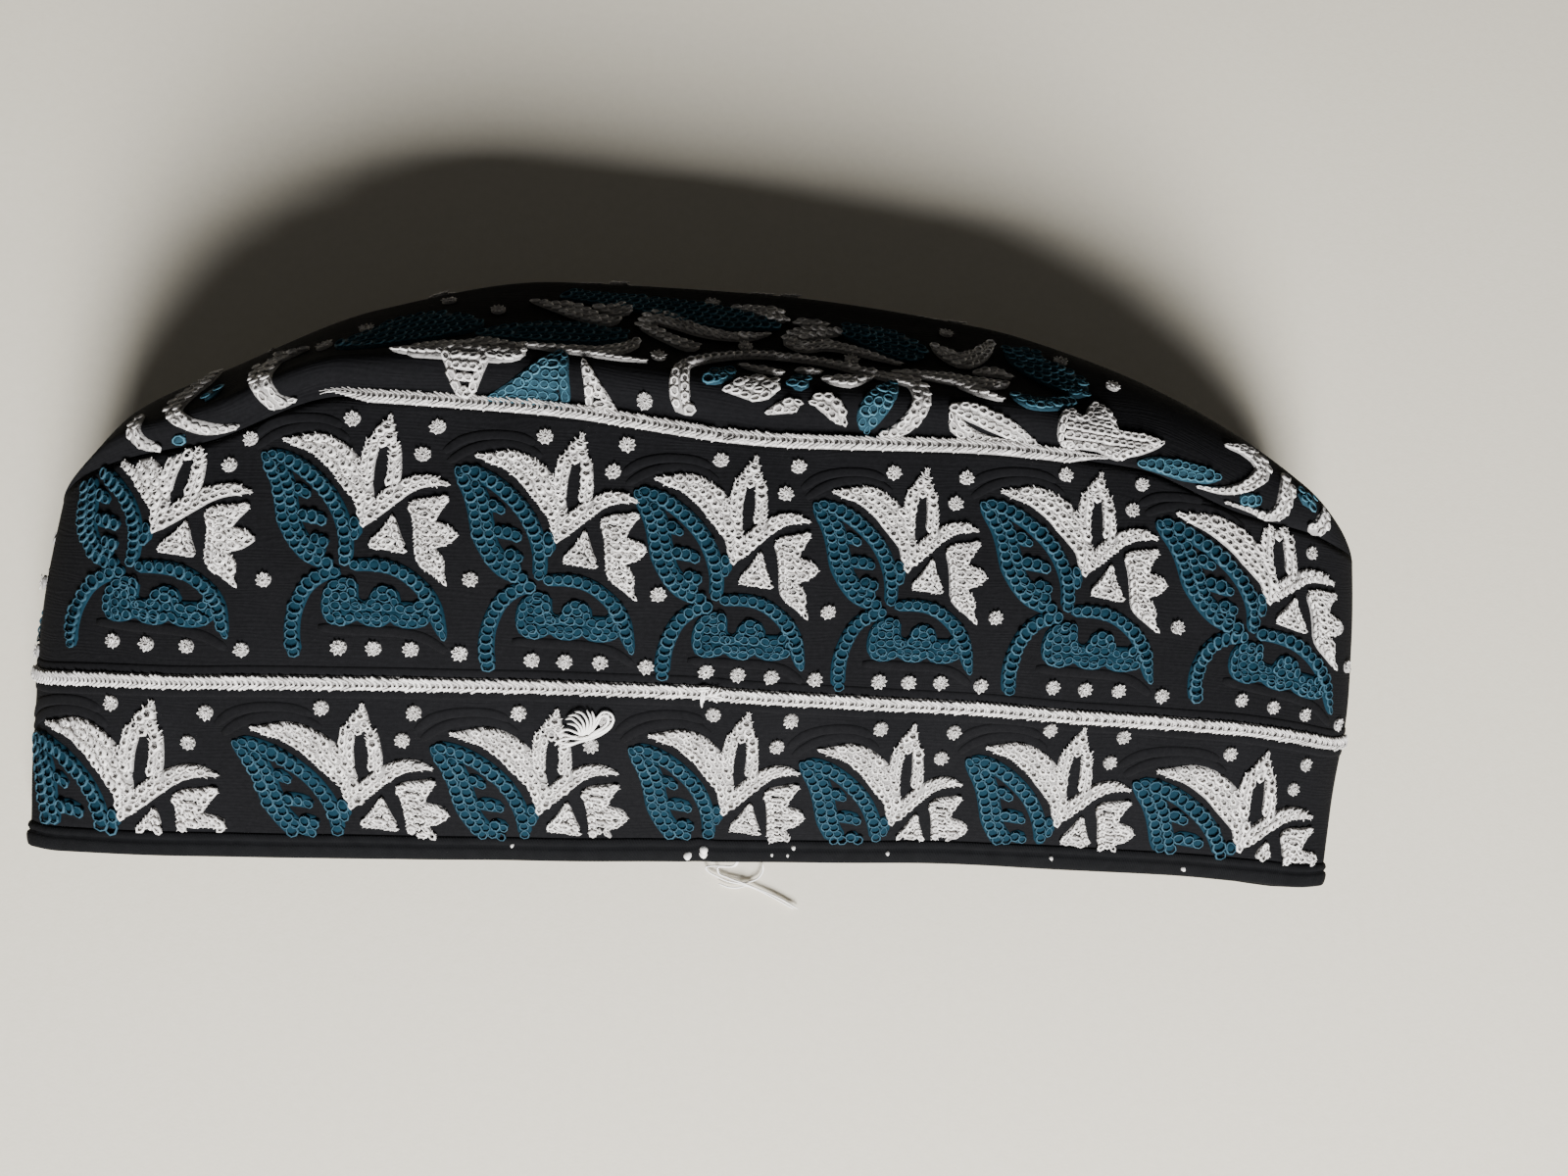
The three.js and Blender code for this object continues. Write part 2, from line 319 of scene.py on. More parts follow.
# The strands of the tail that hangs off the rim: x, y and z in the frame
TAIL_ROWS = (
    (
        (4.9, -59.3, 4.9), (4.2, -60.9, 3), (1.6, -61.2, 1.6), (-0.6, -61.3, 0.3), (-2, -61.7, -0.7),
        (-1.3, -62.6, -1.1), (0.4, -63.5, -1.1), (2.8, -64.5, -1.1), (6.8, -65.3, -1), (9.9, -66.3, -1.1),
        (13.5, -67.9, -1.1), (18.2, -70.3, -1.1),
    ),
    (
        (5.2, -59.4, 4.7), (4.5, -61, 2.6), (2.7, -61.4, 1), (0.7, -61.7, 0), (1, -62.8, -1),
        (3.3, -63.9, -1.1), (6.8, -65, -0.6), (10.4, -66.3, -1.1), (14.4, -67.8, -1.1), (19.3, -70.3, -1.1),
    ),
    ((10.8, -60.6, 1), (11, -62, -0.4), (10.1, -63.7, -1.1), (8.3, -64.6, -1.1), (6.4, -64.9, -1.1)),
    ((1.1, -65.2, -1.1), (3.8, -66, -1.1), (6, -65.9, -1.1), (7.7, -65.4, -1), (10.4, -66.5, -1.1)),
)
# The specks of thread at the rim: a place along the band, a place up it and the half width
RIM_DOTS = (
    (-5.7, 2.1, 0.85), (-2.4, 3.3, 0.85), (-2.4, 2.3, 0.85), (16.6, 4.3, 0.42), (12.2, 2.5, 0.3),
    (15.6, 2.4, 0.3), (-42.4, 4.1, 0.35), (37.3, 3, 0.4), (74.4, 3, 0.4), (106.4, 2.2, 0.5),
)
# The middle braid's height along the band; its last row is the first one again, once round
MID_BRAID = (
    (-296, 37), (-142.8, 36.8), (-95.2, 38.5), (-47.4, 38.9), (-10, 38.9), (8, 38), (30.2, 36.8),
    (72.4, 35.4), (95, 35.2), (110, 34.9), (125, 34.3), (141.8, 33.8), (200, 37), (296, 37),
)

# How far the crown's soft cloth stands off the smooth dome, from the front seam to the folded edge
CROWN_FOLD = Table(
    ("turn", "lift"),
    (
        (0, 0), (0.06, 0.2), (0.11, 1.4), (0.17, 2.6), (0.22, 3), (0.28, 2.4), (0.35, 0.6), (0.44, -1.4),
        (0.55, -3.1), (0.68, -4.2), (0.82, -4.5), (0.97, -4.2), (1.09, -3.3), (1.21, -1.9), (1.33, -0.8),
        (1.571, 0),
    ),
)

# The crown's shapes: a place across the crown, a place up its cloth from the front seam, and the half width
CROWN_WHITE_ROWS = {
    "left_arc_1": (
        (-87.3, 13, 0.5), (-90.8, 13, 1.4), (-94.1, 12.9, 3.3), (-94.3, 9.8, 2.7), (-93.5, 6.6, 1.9),
        (-92.3, 3.9, 1.6), (-90.6, 1.8, 1.3), (-88.5, 1.2, 0.8), (-87.2, 1.1, 0.2),
    ),
    "left_arc_2": (
        (-106.1, 20.9, 0.2), (-107.5, 15.1, 2), (-109.4, 11.6, 2.2), (-110.6, 8.7, 2.3), (-109.9, 6.1, 1.6),
        (-107.3, 4.1, 1.2), (-103.6, 2.4, 1.1), (-99.4, 1.2, 0.7), (-94.6, 0.6, 0.2),
    ),
    "left_arc_3": (
        (-117.6, 8.1, 0.6), (-118.3, 6, 1.5), (-117.8, 3.6, 1.4), (-116.2, 1.9, 1.1), (-113.8, 1, 0.9),
        (-111.4, 0.8, 0.7), (-109.4, 0.8, 0.2),
    ),
    "sprig": (
        (-70.8, 8.9), (-67, 10.3), (-63.8, 11.7), (-60, 12.4), (-56.4, 13), (-53.5, 14.2), (-49, 13.4),
        (-46, 12.6), (-44.6, 11.2), (-45.6, 8.9), (-48.6, 7.7), (-51.4, 8), (-52, 6.5), (-53.2, 3.7),
        (-54.7, 1.2), (-56.3, 0.6), (-57.8, 1.8), (-58.9, 4), (-59.8, 6.6), (-60.8, 8.1), (-64, 8),
        (-67.5, 8.1),
    ),
    "left_leaf": (
        (-34.7, 10.8), (-33.2, 9.4), (-31, 6.4), (-28.6, 3.6), (-26.9, 0.8), (-29.5, 0.5), (-33.1, 0.7),
        (-33.7, 4), (-34.4, 7.5),
    ),
    "ring": (
        (-13, 4, 0.8), (-15.3, 4.8, 2), (-16, 7.7, 2.1), (-15.9, 10.9, 1.9), (-15.3, 13.1, 1.4),
        (-12.1, 15.5, 1.1), (-7.4, 17.8, 1.1), (-0.6, 19.5, 1.1), (6.2, 19.4, 1.1), (13.1, 18.4, 1.1),
        (20, 16.3, 1.2), (25.9, 14.4, 1.4), (30.3, 12.9, 2.1), (31.2, 10.5, 2.1), (31, 7.6, 2),
        (29.3, 4.9, 1.8), (26.7, 2.9, 1.4), (23.4, 2.1, 0.6),
    ),
    "ring_petal_a": ((-7.7, 8.5, 0.4), (-4.9, 9.3, 1.9), (-1.8, 9.7, 3), (0.8, 10.4, 2.8), (2.7, 11.2, 1.1)),
    "ring_petal_b": (
        (11.6, 13.1, 0.5), (14, 13, 1.6), (16.9, 12.9, 2), (19.9, 13.7, 1.1), (21.9, 14.2, 0.2),
    ),
    "ring_petal_c": ((0.6, 5.1, 0.4), (3.4, 6.2, 1.2), (5.9, 6.9, 1.7), (7, 6.8, 1)),
    "ring_petal_d": ((9.3, 8, 1.1), (12, 7.7, 2.1), (14.4, 5.9, 2), (15.6, 3.9, 1)),
    "ring_petal_e": ((-4.4, 15.6, 0.5), (-0.6, 14.9, 0.9), (3.9, 14, 0.7)),
    "ring_petal_f": ((6.6, 15.3, 0.7), (9.1, 15.5, 0.9), (11.7, 15.2, 0.5)),
    "loop_leaf_top": (
        (36.8, 7.4, 0.9), (40.9, 6.8, 2), (45.5, 5.4, 2), (50.1, 3.9, 1.7), (54.2, 2.3, 1.1),
        (56.8, 1.3, 0.2),
    ),
    "loop_leaf_low": (
        (37.4, 6.4, 1.1), (38.8, 4, 1.7), (41.8, 2.7, 1.2), (45.9, 2.1, 0.6), (51.1, 1.8, 0.4),
    ),
    "right_flower": (
        (60, 2.4), (59.9, 6), (61, 9.2), (63.2, 10.3), (65.2, 9), (66.4, 9.4), (67.5, 11.6), (69.6, 13.3),
        (71.9, 12.2), (73.5, 9.5), (73.8, 7.7), (77, 7.3), (80.5, 7.4), (84.6, 6.8), (82.2, 4.5), (79, 2.7),
        (75.6, 1.5), (74.4, 0.8), (71.5, 1.1), (69, 2), (66, 2), (63, 1.4),
    ),
    "right_arc_1": (
        (99.2, 13.2, 0.3), (103.8, 14.1, 1.6), (107.4, 12.8, 2.5), (108.2, 10.5, 2.2), (105.8, 7.6, 1.6),
        (102.1, 4.9, 1.1), (97.5, 2.6, 0.8), (91.9, 0.9, 0.2),
    ),
    "right_arc_2": (
        (113.8, 11.1, 0.8), (114.5, 8.3, 2.2), (113.8, 5.3, 2.1), (112.7, 2.6, 1.9), (110.5, 1.2, 1.2),
        (105, 1.3, 0.6), (97, 0.7, 0.1),
    ),
    "right_arc_3": (
        (125.3, 6.6, 0.9), (125, 3.8, 2.2), (123.2, 1.6, 1.7), (120.9, 0.9, 1.6), (117, 0.7, 0.5),
    ),
    "far_lily_a": (
        (-46.6, 28.9, 0.4), (-42.6, 27.7, 1.6), (-37.7, 26.3, 2.8), (-33.7, 24.4, 2.2), (-30.7, 23.8, 1.5),
        (-28.5, 25, 0.6),
    ),
    "far_lily_a_top": ((-34, 28.6, 0.6), (-30.1, 28.4, 2.3), (-26.8, 30.1, 2.4)),
    "far_lily_b": (
        (2, 27.1, 0.3), (-2.6, 25.2, 1.2), (-7.5, 24.7, 1.5), (-12.4, 25.2, 1.8), (-16.9, 26.9, 2.3),
        (-20.9, 27.9, 2.8), (-24.6, 25, 0.9),
    ),
    "far_lily_b_low": (
        (-24.6, 24.7, 1.2), (-21.4, 22.7, 1.7), (-18, 20.8, 1.6), (-14.7, 19.6, 1.8), (-12.4, 19.9, 1),
    ),
    "far_lily_c": (
        (17.1, 29.4, 1.1), (12.5, 28.6, 2), (8, 27.5, 2.2), (5.5, 25.1, 1.4), (7.9, 23.3, 1.7),
        (13.3, 24.3, 1.8), (17.9, 23.5, 1.5), (22.3, 21.8, 1.1), (28.6, 19.2, 0.3),
    ),
    "far_bit_c": ((7.4, 32.3, 1.6), (10.7, 32, 1.2), (14.3, 31.7, 0.6)),
    "far_bit_d": ((-5.8, 36.1, 0.8), (-0.4, 35.8, 2), (2.6, 34.5, 3.2), (5.2, 32, 1.1)),
    "far_lily_d": (
        (36.3, 27.1, 0.7), (38.6, 24.1, 1.9), (42, 22, 2.8), (46.2, 24.5, 2.3), (50.2, 30.1, 1.1),
    ),
    "far_leaf_d": ((43.9, 18, 0.5), (48, 19, 1.7), (52.3, 17.7, 0.6)),
    "far_leaf_e": ((26.4, 16.6, 0.4), (32.1, 16.1, 1.3), (38.2, 15.3, 2), (44.4, 14.5, 2), (50.8, 15.2, 1)),
    "far_leaf_f": ((39.1, 13.9, 1), (43.1, 11.8, 1.4), (48.2, 9.8, 0.5)),
    "far_sweep": (
        (-48.6, 12.9, 0.5), (-43, 12.6, 0.9), (-37.4, 12.6, 1.4), (-31.9, 13.1, 1.6), (-27.3, 15.4, 1.6),
        (-24.3, 18.6, 1.1),
    ),
    "far_sweep_tail": ((-33.7, 12.1, 0.9), (-28, 12, 0.7), (-22.4, 12.3, 0.2)),
}
CROWN_TEAL_ROWS = {
    "triangle": ((-52.4, 0.9), (-46.7, 4.9), (-42.2, 8.8), (-37.8, 12), (-37, 7), (-36.9, 0.9), (-44, 0.7)),
    "ring_leaf": ((26.3, 13.5, 0.6), (24.6, 10.7, 2), (22.4, 8, 2.8), (20.8, 5.3, 2.4), (19.9, 2.8, 1.2)),
    "ring_heart": ((5.2, 12.3, 2), (8.9, 11.8, 2)),
    "ring_shade": ((-11.3, 9.6, 0.8), (-9.1, 11.5, 1.8), (-5.7, 13.4, 1.5)),
    "squeezed": ((78.2, 0.8, 0.6), (82.6, 1.6, 1.5), (88.2, 2.7, 2), (93.4, 4, 1.6), (97.1, 5.1, 0.4)),
    "far_leaf_1": (
        (-81.5, 10.6, 1.3), (-75.6, 12.9, 3.2), (-70.5, 16.1, 5.2), (-64.2, 18.4, 5.4), (-58.2, 18.9, 3.4),
        (-54.6, 19, 0.9),
    ),
    "far_leaf_2": (
        (-55.4, 15.6, 1), (-49, 16.7, 2.6), (-41.6, 17.6, 3.6), (-34.1, 18.5, 3.4), (-26.6, 20.1, 1.6),
    ),
    "far_leaf_3": (
        (-40.3, 33.5, 2.6), (-31.4, 33, 2.8), (-22.4, 32.7, 3.9), (-13.5, 31.8, 4.7), (-5.5, 31, 3.9),
        (2.5, 30.1, 1.8), (4.1, 29.3, 0.7),
    ),
    "far_leaf_4": (
        (17.2, 30.9, 2.4), (21.8, 28.9, 3.7), (26.7, 26.7, 4.9), (31.1, 23.9, 4.4), (33.3, 21.7, 2.3),
    ),
    "far_leaf_5": (
        (56.4, 29.6, 4.6), (57.4, 23.8, 3.9), (61.3, 20.5, 4.3), (65.2, 17.9, 3.9), (66.9, 14.2, 2.2),
    ),
    "far_leaf_6": ((50.5, 12.3, 1), (53.5, 10.6, 1.9), (58.9, 10.8, 1.6), (64.5, 12.5, 1)),
    "left_spot_1": ((-105, 10.2, 2.1), (-102.5, 9.4, 2)),
    "left_spot_2": ((-110.3, 1.6, 0.8), (-107.9, 1.6, 1)),
    "right_spot_1": ((102.3, 2.5, 1.2), (107.1, 3.8, 1.2)),
    "right_spot_2": ((120.4, 8.8, 3.3), (119.9, 5.4, 2.1)),
}
CROWN_DOTS = (
    (-22.4, 4.3), (-52.7, 24.8), (-77.5, 17.4), (-84.1, 12.1), (-63.4, 29.6), (-3.2, 22.1), (18.3, 20),
    (-20.3, 14.8), (40.4, 32.7), (64.7, 25.9), (74.6, 19), (-9.9, 37.7),
)


# The pressed form


@dataclass(frozen=True)
class PressedForm:
    """The cap's pressed form: the same curves as its solids, in millimetres.

    The band is a tube. theta goes round it, from the left crease over the front wall to the right
    crease at pi, and back under the cap to two pi.
    """

    wall: float = 2.2
    seam_gap: float = 0.3
    crease_inset: float = 5.0
    back_lean: float = 10.0
    lean_power: float = 6.0
    side_bias: float = 0.1
    arch_power: float = 2.2
    flat_power: float = 4.0
    flat_reach: float = 1.08
    fold_power: float = 3.0
    fold_end: tuple[float, float] = (0.36, 0.56)
    roll_power: float = 0.7
    origin: tuple[float, float] = (0.407, -60.555)

    def tube(self, theta: Array, along: Array, depth: float = 0.0) -> Array:
        """Give points of the band's tube.

        Args:
            theta: The place round the tube.
            along: The share of the way from the rim to the crown seam.
            depth: The distance inward from the cloth's outer face.

        Returns:
            An array of points.
        """
        theta, along = np.broadcast_arrays(np.asarray(theta, float), np.asarray(along, float))
        across = -np.cos(theta)
        front = np.sin(theta) >= 0
        return self._tube_at(across, front, along, depth)

    def _tube_at(self, across: Array, front: Array, along: Array, depth: float) -> Array:
        """Give points of the tube from the place across the cap and the wall they are on.

        Args:
            across: From -1 at the left crease to 1 at the right one.
            front: Whether the point is on the front wall.
            along: The share of the way from the rim to the crown seam.
            depth: The distance inward from the cloth's outer face.

        Returns:
            An array of points.
        """
        level = np.clip(along, 0, 1)
        half = BAND_ROWS.read("half_width", level) - self.crease_inset * depth / self.wall
        crease = BAND_ROWS.read("crease", level)
        height = BAND_ROWS.read("height", level) * (1 - self.side_bias * across * level)
        reach = np.abs(across)
        arch = np.sqrt(np.maximum(1 - reach**self.arch_power, 0))
        rounded = np.maximum(1 - reach**self.flat_power, 0) ** (1 / self.flat_power)
        flat = np.minimum(1, self.flat_reach * rounded)
        z = np.where(front, crease + (height - depth - crease) * arch, crease - (crease - depth) * flat)
        rim = FOLD_ROWS.read("rim", across)
        seam = FOLD_ROWS.read("seam", across)
        lean = self.back_lean * (1 - z / height) * (1 - reach**self.lean_power)
        x = half * across + BAND_ROWS.read("shift", level) + self.origin[0]
        y = rim + along * (seam + lean - rim) + self.origin[1]
        return np.stack([x, y, z], -1)

    def crown(self, across: Array, turn: Array, depth: float = 0.0, folded: bool = True) -> Array:
        """Give points of the crown's cloth.

        Args:
            across: From -1 at the left crease to 1 at the right one.
            turn: From 0 at the front seam, over the crown's edge, to pi at the back seam.
            depth: The distance inward from the cloth's outer face.
            folded: Whether the cloth has the soft roll and the sag behind the front seam.

        Returns:
            An array of points.
        """
        across, turn = np.broadcast_arrays(np.asarray(across, float), np.asarray(turn, float))
        front = turn <= math.pi / 2
        seam = self._tube_at(across, front, np.ones_like(across), depth)
        under = self._tube_at(across, np.zeros(across.shape, bool), np.ones_like(across), depth)
        start = seam[..., 1] + self.seam_gap
        edge = FOLD_ROWS.read("edge", across) - depth + self.origin[1]
        edge = np.maximum(edge, under[..., 1] + self.seam_gap)
        edge_height = FOLD_ROWS.read("edge_height", across)
        swell = np.maximum(np.sin(2 * turn), 0) ** self.roll_power
        roll = np.where(front, FOLD_ROWS.read("roll", across) * swell, 0)
        if folded:
            fold = CROWN_FOLD.read("lift", np.clip(turn, 0, math.pi / 2))
            begin, end = self.fold_end
            past = np.clip((across - begin) / (end - begin), 0, 1)
            fold = fold * (1 - np.abs(across) ** self.fold_power) * (1 - past**2 * (3 - 2 * past))
            roll = roll + np.where(front, fold, 0)
        y = start + (edge - start) * np.sin(turn)
        z = edge_height + (seam[..., 2] - edge_height) * np.abs(np.cos(turn)) + roll
        return np.stack([seam[..., 0], y, z], -1)


class ClothSurface:
    """A cloth face that stitches are laid on, with a measured grid in millimetres."""

    probe: float = 0.4

    def raw(self, u: Array, v: Array) -> Array:
        """Give the points of the smooth face at the grid's places."""
        raise NotImplementedError

    def wave(self, u: Array, v: Array) -> Array:
        """Give how far the cloth stands off its smooth face."""
        return np.zeros(np.shape(u))

    def normal(self, u: Array, v: Array) -> Array:
        """Give the outward normals.

        Args:
            u: Places along the cloth.
            v: Places up the cloth.

        Returns:
            Unit normals.
        """
        sideways = self.raw(u + self.probe, v) - self.raw(u - self.probe, v)
        upward = self.raw(u, v + self.probe) - self.raw(u, v - self.probe)
        return unit(np.cross(sideways, upward))

    def at(self, u: Array, v: Array, lift: Array | float = 0.0) -> Array:
        """Give points on or above the cloth.

        Args:
            u: Places along the cloth.
            v: Places up the cloth.
            lift: The height above the cloth.

        Returns:
            An array of points.
        """
        u, v = np.asarray(u, float), np.asarray(v, float)
        height = (self.wave(u, v) + lift)[..., None]
        return self.raw(u, v) + self.normal(u, v) * height

    def turns(self, u: Array, v: Array, heading: Array) -> Array:
        """Give the turn that lays a stitch flat on the cloth along its heading.

        Args:
            u: Places along the cloth.
            v: Places up the cloth.
            heading: The stitch's direction on the grid.

        Returns:
            XYZ Euler angles.
        """
        step_u, step_v = self.probe * np.cos(heading), self.probe * np.sin(heading)
        ahead = self.raw(u + step_u, v + step_v) - self.raw(u, v)
        out = self.normal(u, v)
        forward = unit(ahead - out * np.sum(ahead * out, -1, keepdims=True))
        side = np.cross(out, forward)
        roll, yaw = np.arctan2(side[:, 2], out[:, 2]), np.arctan2(forward[:, 1], forward[:, 0])
        return np.stack([roll, -np.arcsin(np.clip(forward[:, 2], -1, 1)), yaw], -1)


def unit(vectors: Array) -> Array:
    """Give the vectors at length one."""
    return vectors / np.maximum(np.linalg.norm(vectors, axis=-1, keepdims=True), 1e-9)


class BandSurface(ClothSurface):
    """The band's outer face: u round the band from the front's middle, v up from the rim."""

    seam_place: float = -3.0
    seam_slant: float = -0.055
    dent_depth: float = 0.55
    dent_half: float = 1.6
    swell_height: float = 0.35
    swell_rates: tuple[float, ...] = (0.061, 0.067, 0.013)
    swell_bend: tuple[float, float] = (0.8, 0.05)
    ripple_height: float = 0.16
    ripple_rates: tuple[float, ...] = (0.17, 0.09, 0.13, 0.04)
    samples: int = 2881
    wall_samples: int = 33

    def __init__(self, form: PressedForm) -> None:
        """Measure the tube round its middle and up its walls."""
        self.form = form
        self.theta_grid = np.linspace(0, 2 * math.pi, self.samples)
        ring = form.tube(self.theta_grid, np.full(self.theta_grid.shape, 0.5))
        length = distances(ring)
        self.round = float(length[-1])
        self.start = float(np.interp(math.pi / 2, self.theta_grid, length))
        self.length_grid = length
        along = np.linspace(0, 1, self.wall_samples)
        lines = form.tube(self.theta_grid[:, None], along[None, :])
        self.wall_grid = np.linalg.norm(np.diff(lines, axis=1), axis=2).sum(1)

    def theta(self, u: Array) -> Array:
        """Give the place round the tube at a distance along the cloth."""
        return np.interp(np.mod(u + self.start, self.round), self.length_grid, self.theta_grid)

    def u_at(self, theta: Array) -> Array:
        """Give the distance along the cloth at a place round the tube."""
        return np.interp(theta, self.theta_grid, self.length_grid) - self.start

    def wall(self, theta: Array) -> Array:
        """Give the wall's length from the rim to the crown seam."""
        return np.interp(np.mod(theta, 2 * math.pi), self.theta_grid, self.wall_grid)

    def raw(self, u: Array, v: Array) -> Array:
        """Give the points of the band's smooth face."""
        theta = self.theta(u)
        return self.form.tube(theta, v / self.wall(theta))

    def wave(self, u: Array, v: Array) -> Array:
        """Give the band's soft waves and the dent of its seam.

        Args:
            u: Places along the band.
            v: Places up the band.

        Returns:
            Heights in millimetres.
        """
        seam_line = self.seam_place + self.seam_slant * v
        dent = -self.dent_depth * np.exp(-(((u - seam_line) / self.dent_half) ** 2))
        (along, up, slant), (bend, bend_rate) = self.swell_rates, self.swell_bend
        swell = np.sin(u * along + bend * np.sin(v * bend_rate)) * np.sin(v * up + u * slant)
        along, over, up, back = self.ripple_rates
        ripple = np.sin(u * along + v * over) * np.sin(v * up - u * back)
        return dent + self.swell_height * swell + self.ripple_height * ripple


class CrownSurface(ClothSurface):
    """The crown's outer face: u across the cap, v up the cloth from the front seam."""

    half_across: float = 140.0
    lines: int = 361
    shares: int = 240
    end_angle: float = 0.015
    reach: float = 0.9995

    def __init__(self, form: PressedForm) -> None:
        """Measure the crown along lines from seam to seam."""
        self.form = form
        across = -np.cos(np.linspace(self.end_angle, math.pi - self.end_angle, self.lines))
        turn = np.linspace(0, math.pi, self.shares + 1)
        faces = form.crown(across[:, None], turn[None, :], folded=False)
        length = distances(faces, 1)
        self.across_grid = across
        self.full = length[:, -1]
        even = np.linspace(0, 1, self.shares + 1)
        self.turn_table = np.array([np.interp(even, row / row[-1], turn) for row in length])

    def full_length(self, u: Array) -> Array:
        """Give the cloth's whole length from seam to seam."""
        return np.interp(np.asarray(u) / self.half_across, self.across_grid, self.full)

    def turn(self, across: Array, v: Array) -> Array:
        """Give the turn at a distance up the cloth.

        Args:
            across: Places across the cap.
            v: Distances from the front seam.

        Returns:
            The turn at each.
        """
        angle = np.arccos(np.clip(-across, -1, 1))
        line = (angle - self.end_angle) / (math.pi - 2 * self.end_angle) * (self.lines - 1)
        line = np.clip(line, 0, self.lines - 1.001)
        share = np.clip(v / np.interp(across, self.across_grid, self.full), 0, 0.9999) * self.shares
        row, column = line.astype(int), share.astype(int)
        down, over = line - row, share - column
        table = self.turn_table
        first = table[row, column] * (1 - over) + table[row, column + 1] * over
        second = table[row + 1, column] * (1 - over) + table[row + 1, column + 1] * over
        return first * (1 - down) + second * down

    def raw(self, u: Array, v: Array) -> Array:
        """Give the points of the crown's smooth face."""
        across = np.clip(u / self.half_across, -self.reach, self.reach)
        return self.form.crown(across, self.turn(across, v))


# Ribbons of stitches


@dataclass(frozen=True)
class Place:
    """Where a motif goes: its tip's place, how wide and how tall it is drawn, its lean and its tilt."""

    u: float
    v: float
    stretch: float = 1.0
    rise: float = 1.0
    lean: float = 0.0
    tilt: float = 0.0

    @property
    def size(self) -> float:
        """Give how much bigger the motif's stitches are than drawn."""
        return math.sqrt(self.stretch * self.rise)

    def turned(self, across: Array, up: Array) -> tuple[Array, Array]:
        """Give steps of the drawn motif as steps on the cloth."""
        return across * self.stretch + up * self.lean, across * self.tilt + up * self.rise

    def moved(self, across: Array, up: Array) -> tuple[Array, Array]:
        """Give points of the drawn motif as places on the cloth."""
        along, over = self.turned(across, up)
        return self.u + along, self.v + over


@dataclass
class Trace:
    """A ribbon's centre line, sampled finely on a cloth grid."""

    s: Array
    u: Array
    v: Array
    half: Array

    @classmethod
    def through(cls, rows: Rows, step: float = 0.2) -> "Trace":
        """Draw a smooth line through a ribbon's rows.

        Args:
            rows: Place along the cloth, place up it and half width at each row.
            step: The distance between samples.

        Returns:
            The trace.
        """
        table = np.array(rows, float)
        chord = distances(table[:, :2])
        slopes = np.gradient(table, chord, axis=0)
        at = np.linspace(0, chord[-1], max(int(chord[-1] / step), 2) + 1)
        low = np.clip(np.searchsorted(chord, at, side="right") - 1, 0, len(chord) - 2)
        curve = smooth(chord, table, slopes, low, at)
        return cls.from_points(curve[:, 0], curve[:, 1], np.interp(at, chord, table[:, 2]))

    @classmethod
    def from_points(cls, u: Array, v: Array, half: Array) -> "Trace":
        """Measure a trace along its points."""
        return cls(np.concatenate([[0], np.cumsum(np.hypot(np.diff(u), np.diff(v)))]), u, v, half)

    @property
    def heading(self) -> Array:
        """Give the direction at each sample."""
        return np.unwrap(np.arctan2(np.gradient(self.v), np.gradient(self.u)))

    def placed(self, place: "Place") -> "Trace":
        """Give the trace moved to its place."""
        return Trace.from_points(*place.moved(self.u, self.v), self.half * place.size)

    def cut(self, keep: Array, least: int = 4) -> list["Trace"]:
        """Cut the trace where it leaves its cloth.

        Args:
            keep: Which samples are on the cloth.
            least: The fewest samples that make a stretch.

        Returns:
            The stretches that stay.
        """
        edges = np.flatnonzero(np.diff(np.concatenate([[0], keep.astype(int), [0]])))
        spans = [slice(a, b) for a, b in zip(edges[::2], edges[1::2]) if b - a > least]
        return [Trace.from_points(self.u[span], self.v[span], self.half[span]) for span in spans]

    def read(self, at: Array) -> tuple[Array, ...]:
        """Give u, v, half width and heading at distances along the trace."""
        return tuple(np.interp(at, self.s, part) for part in (self.u, self.v, self.half, self.heading))


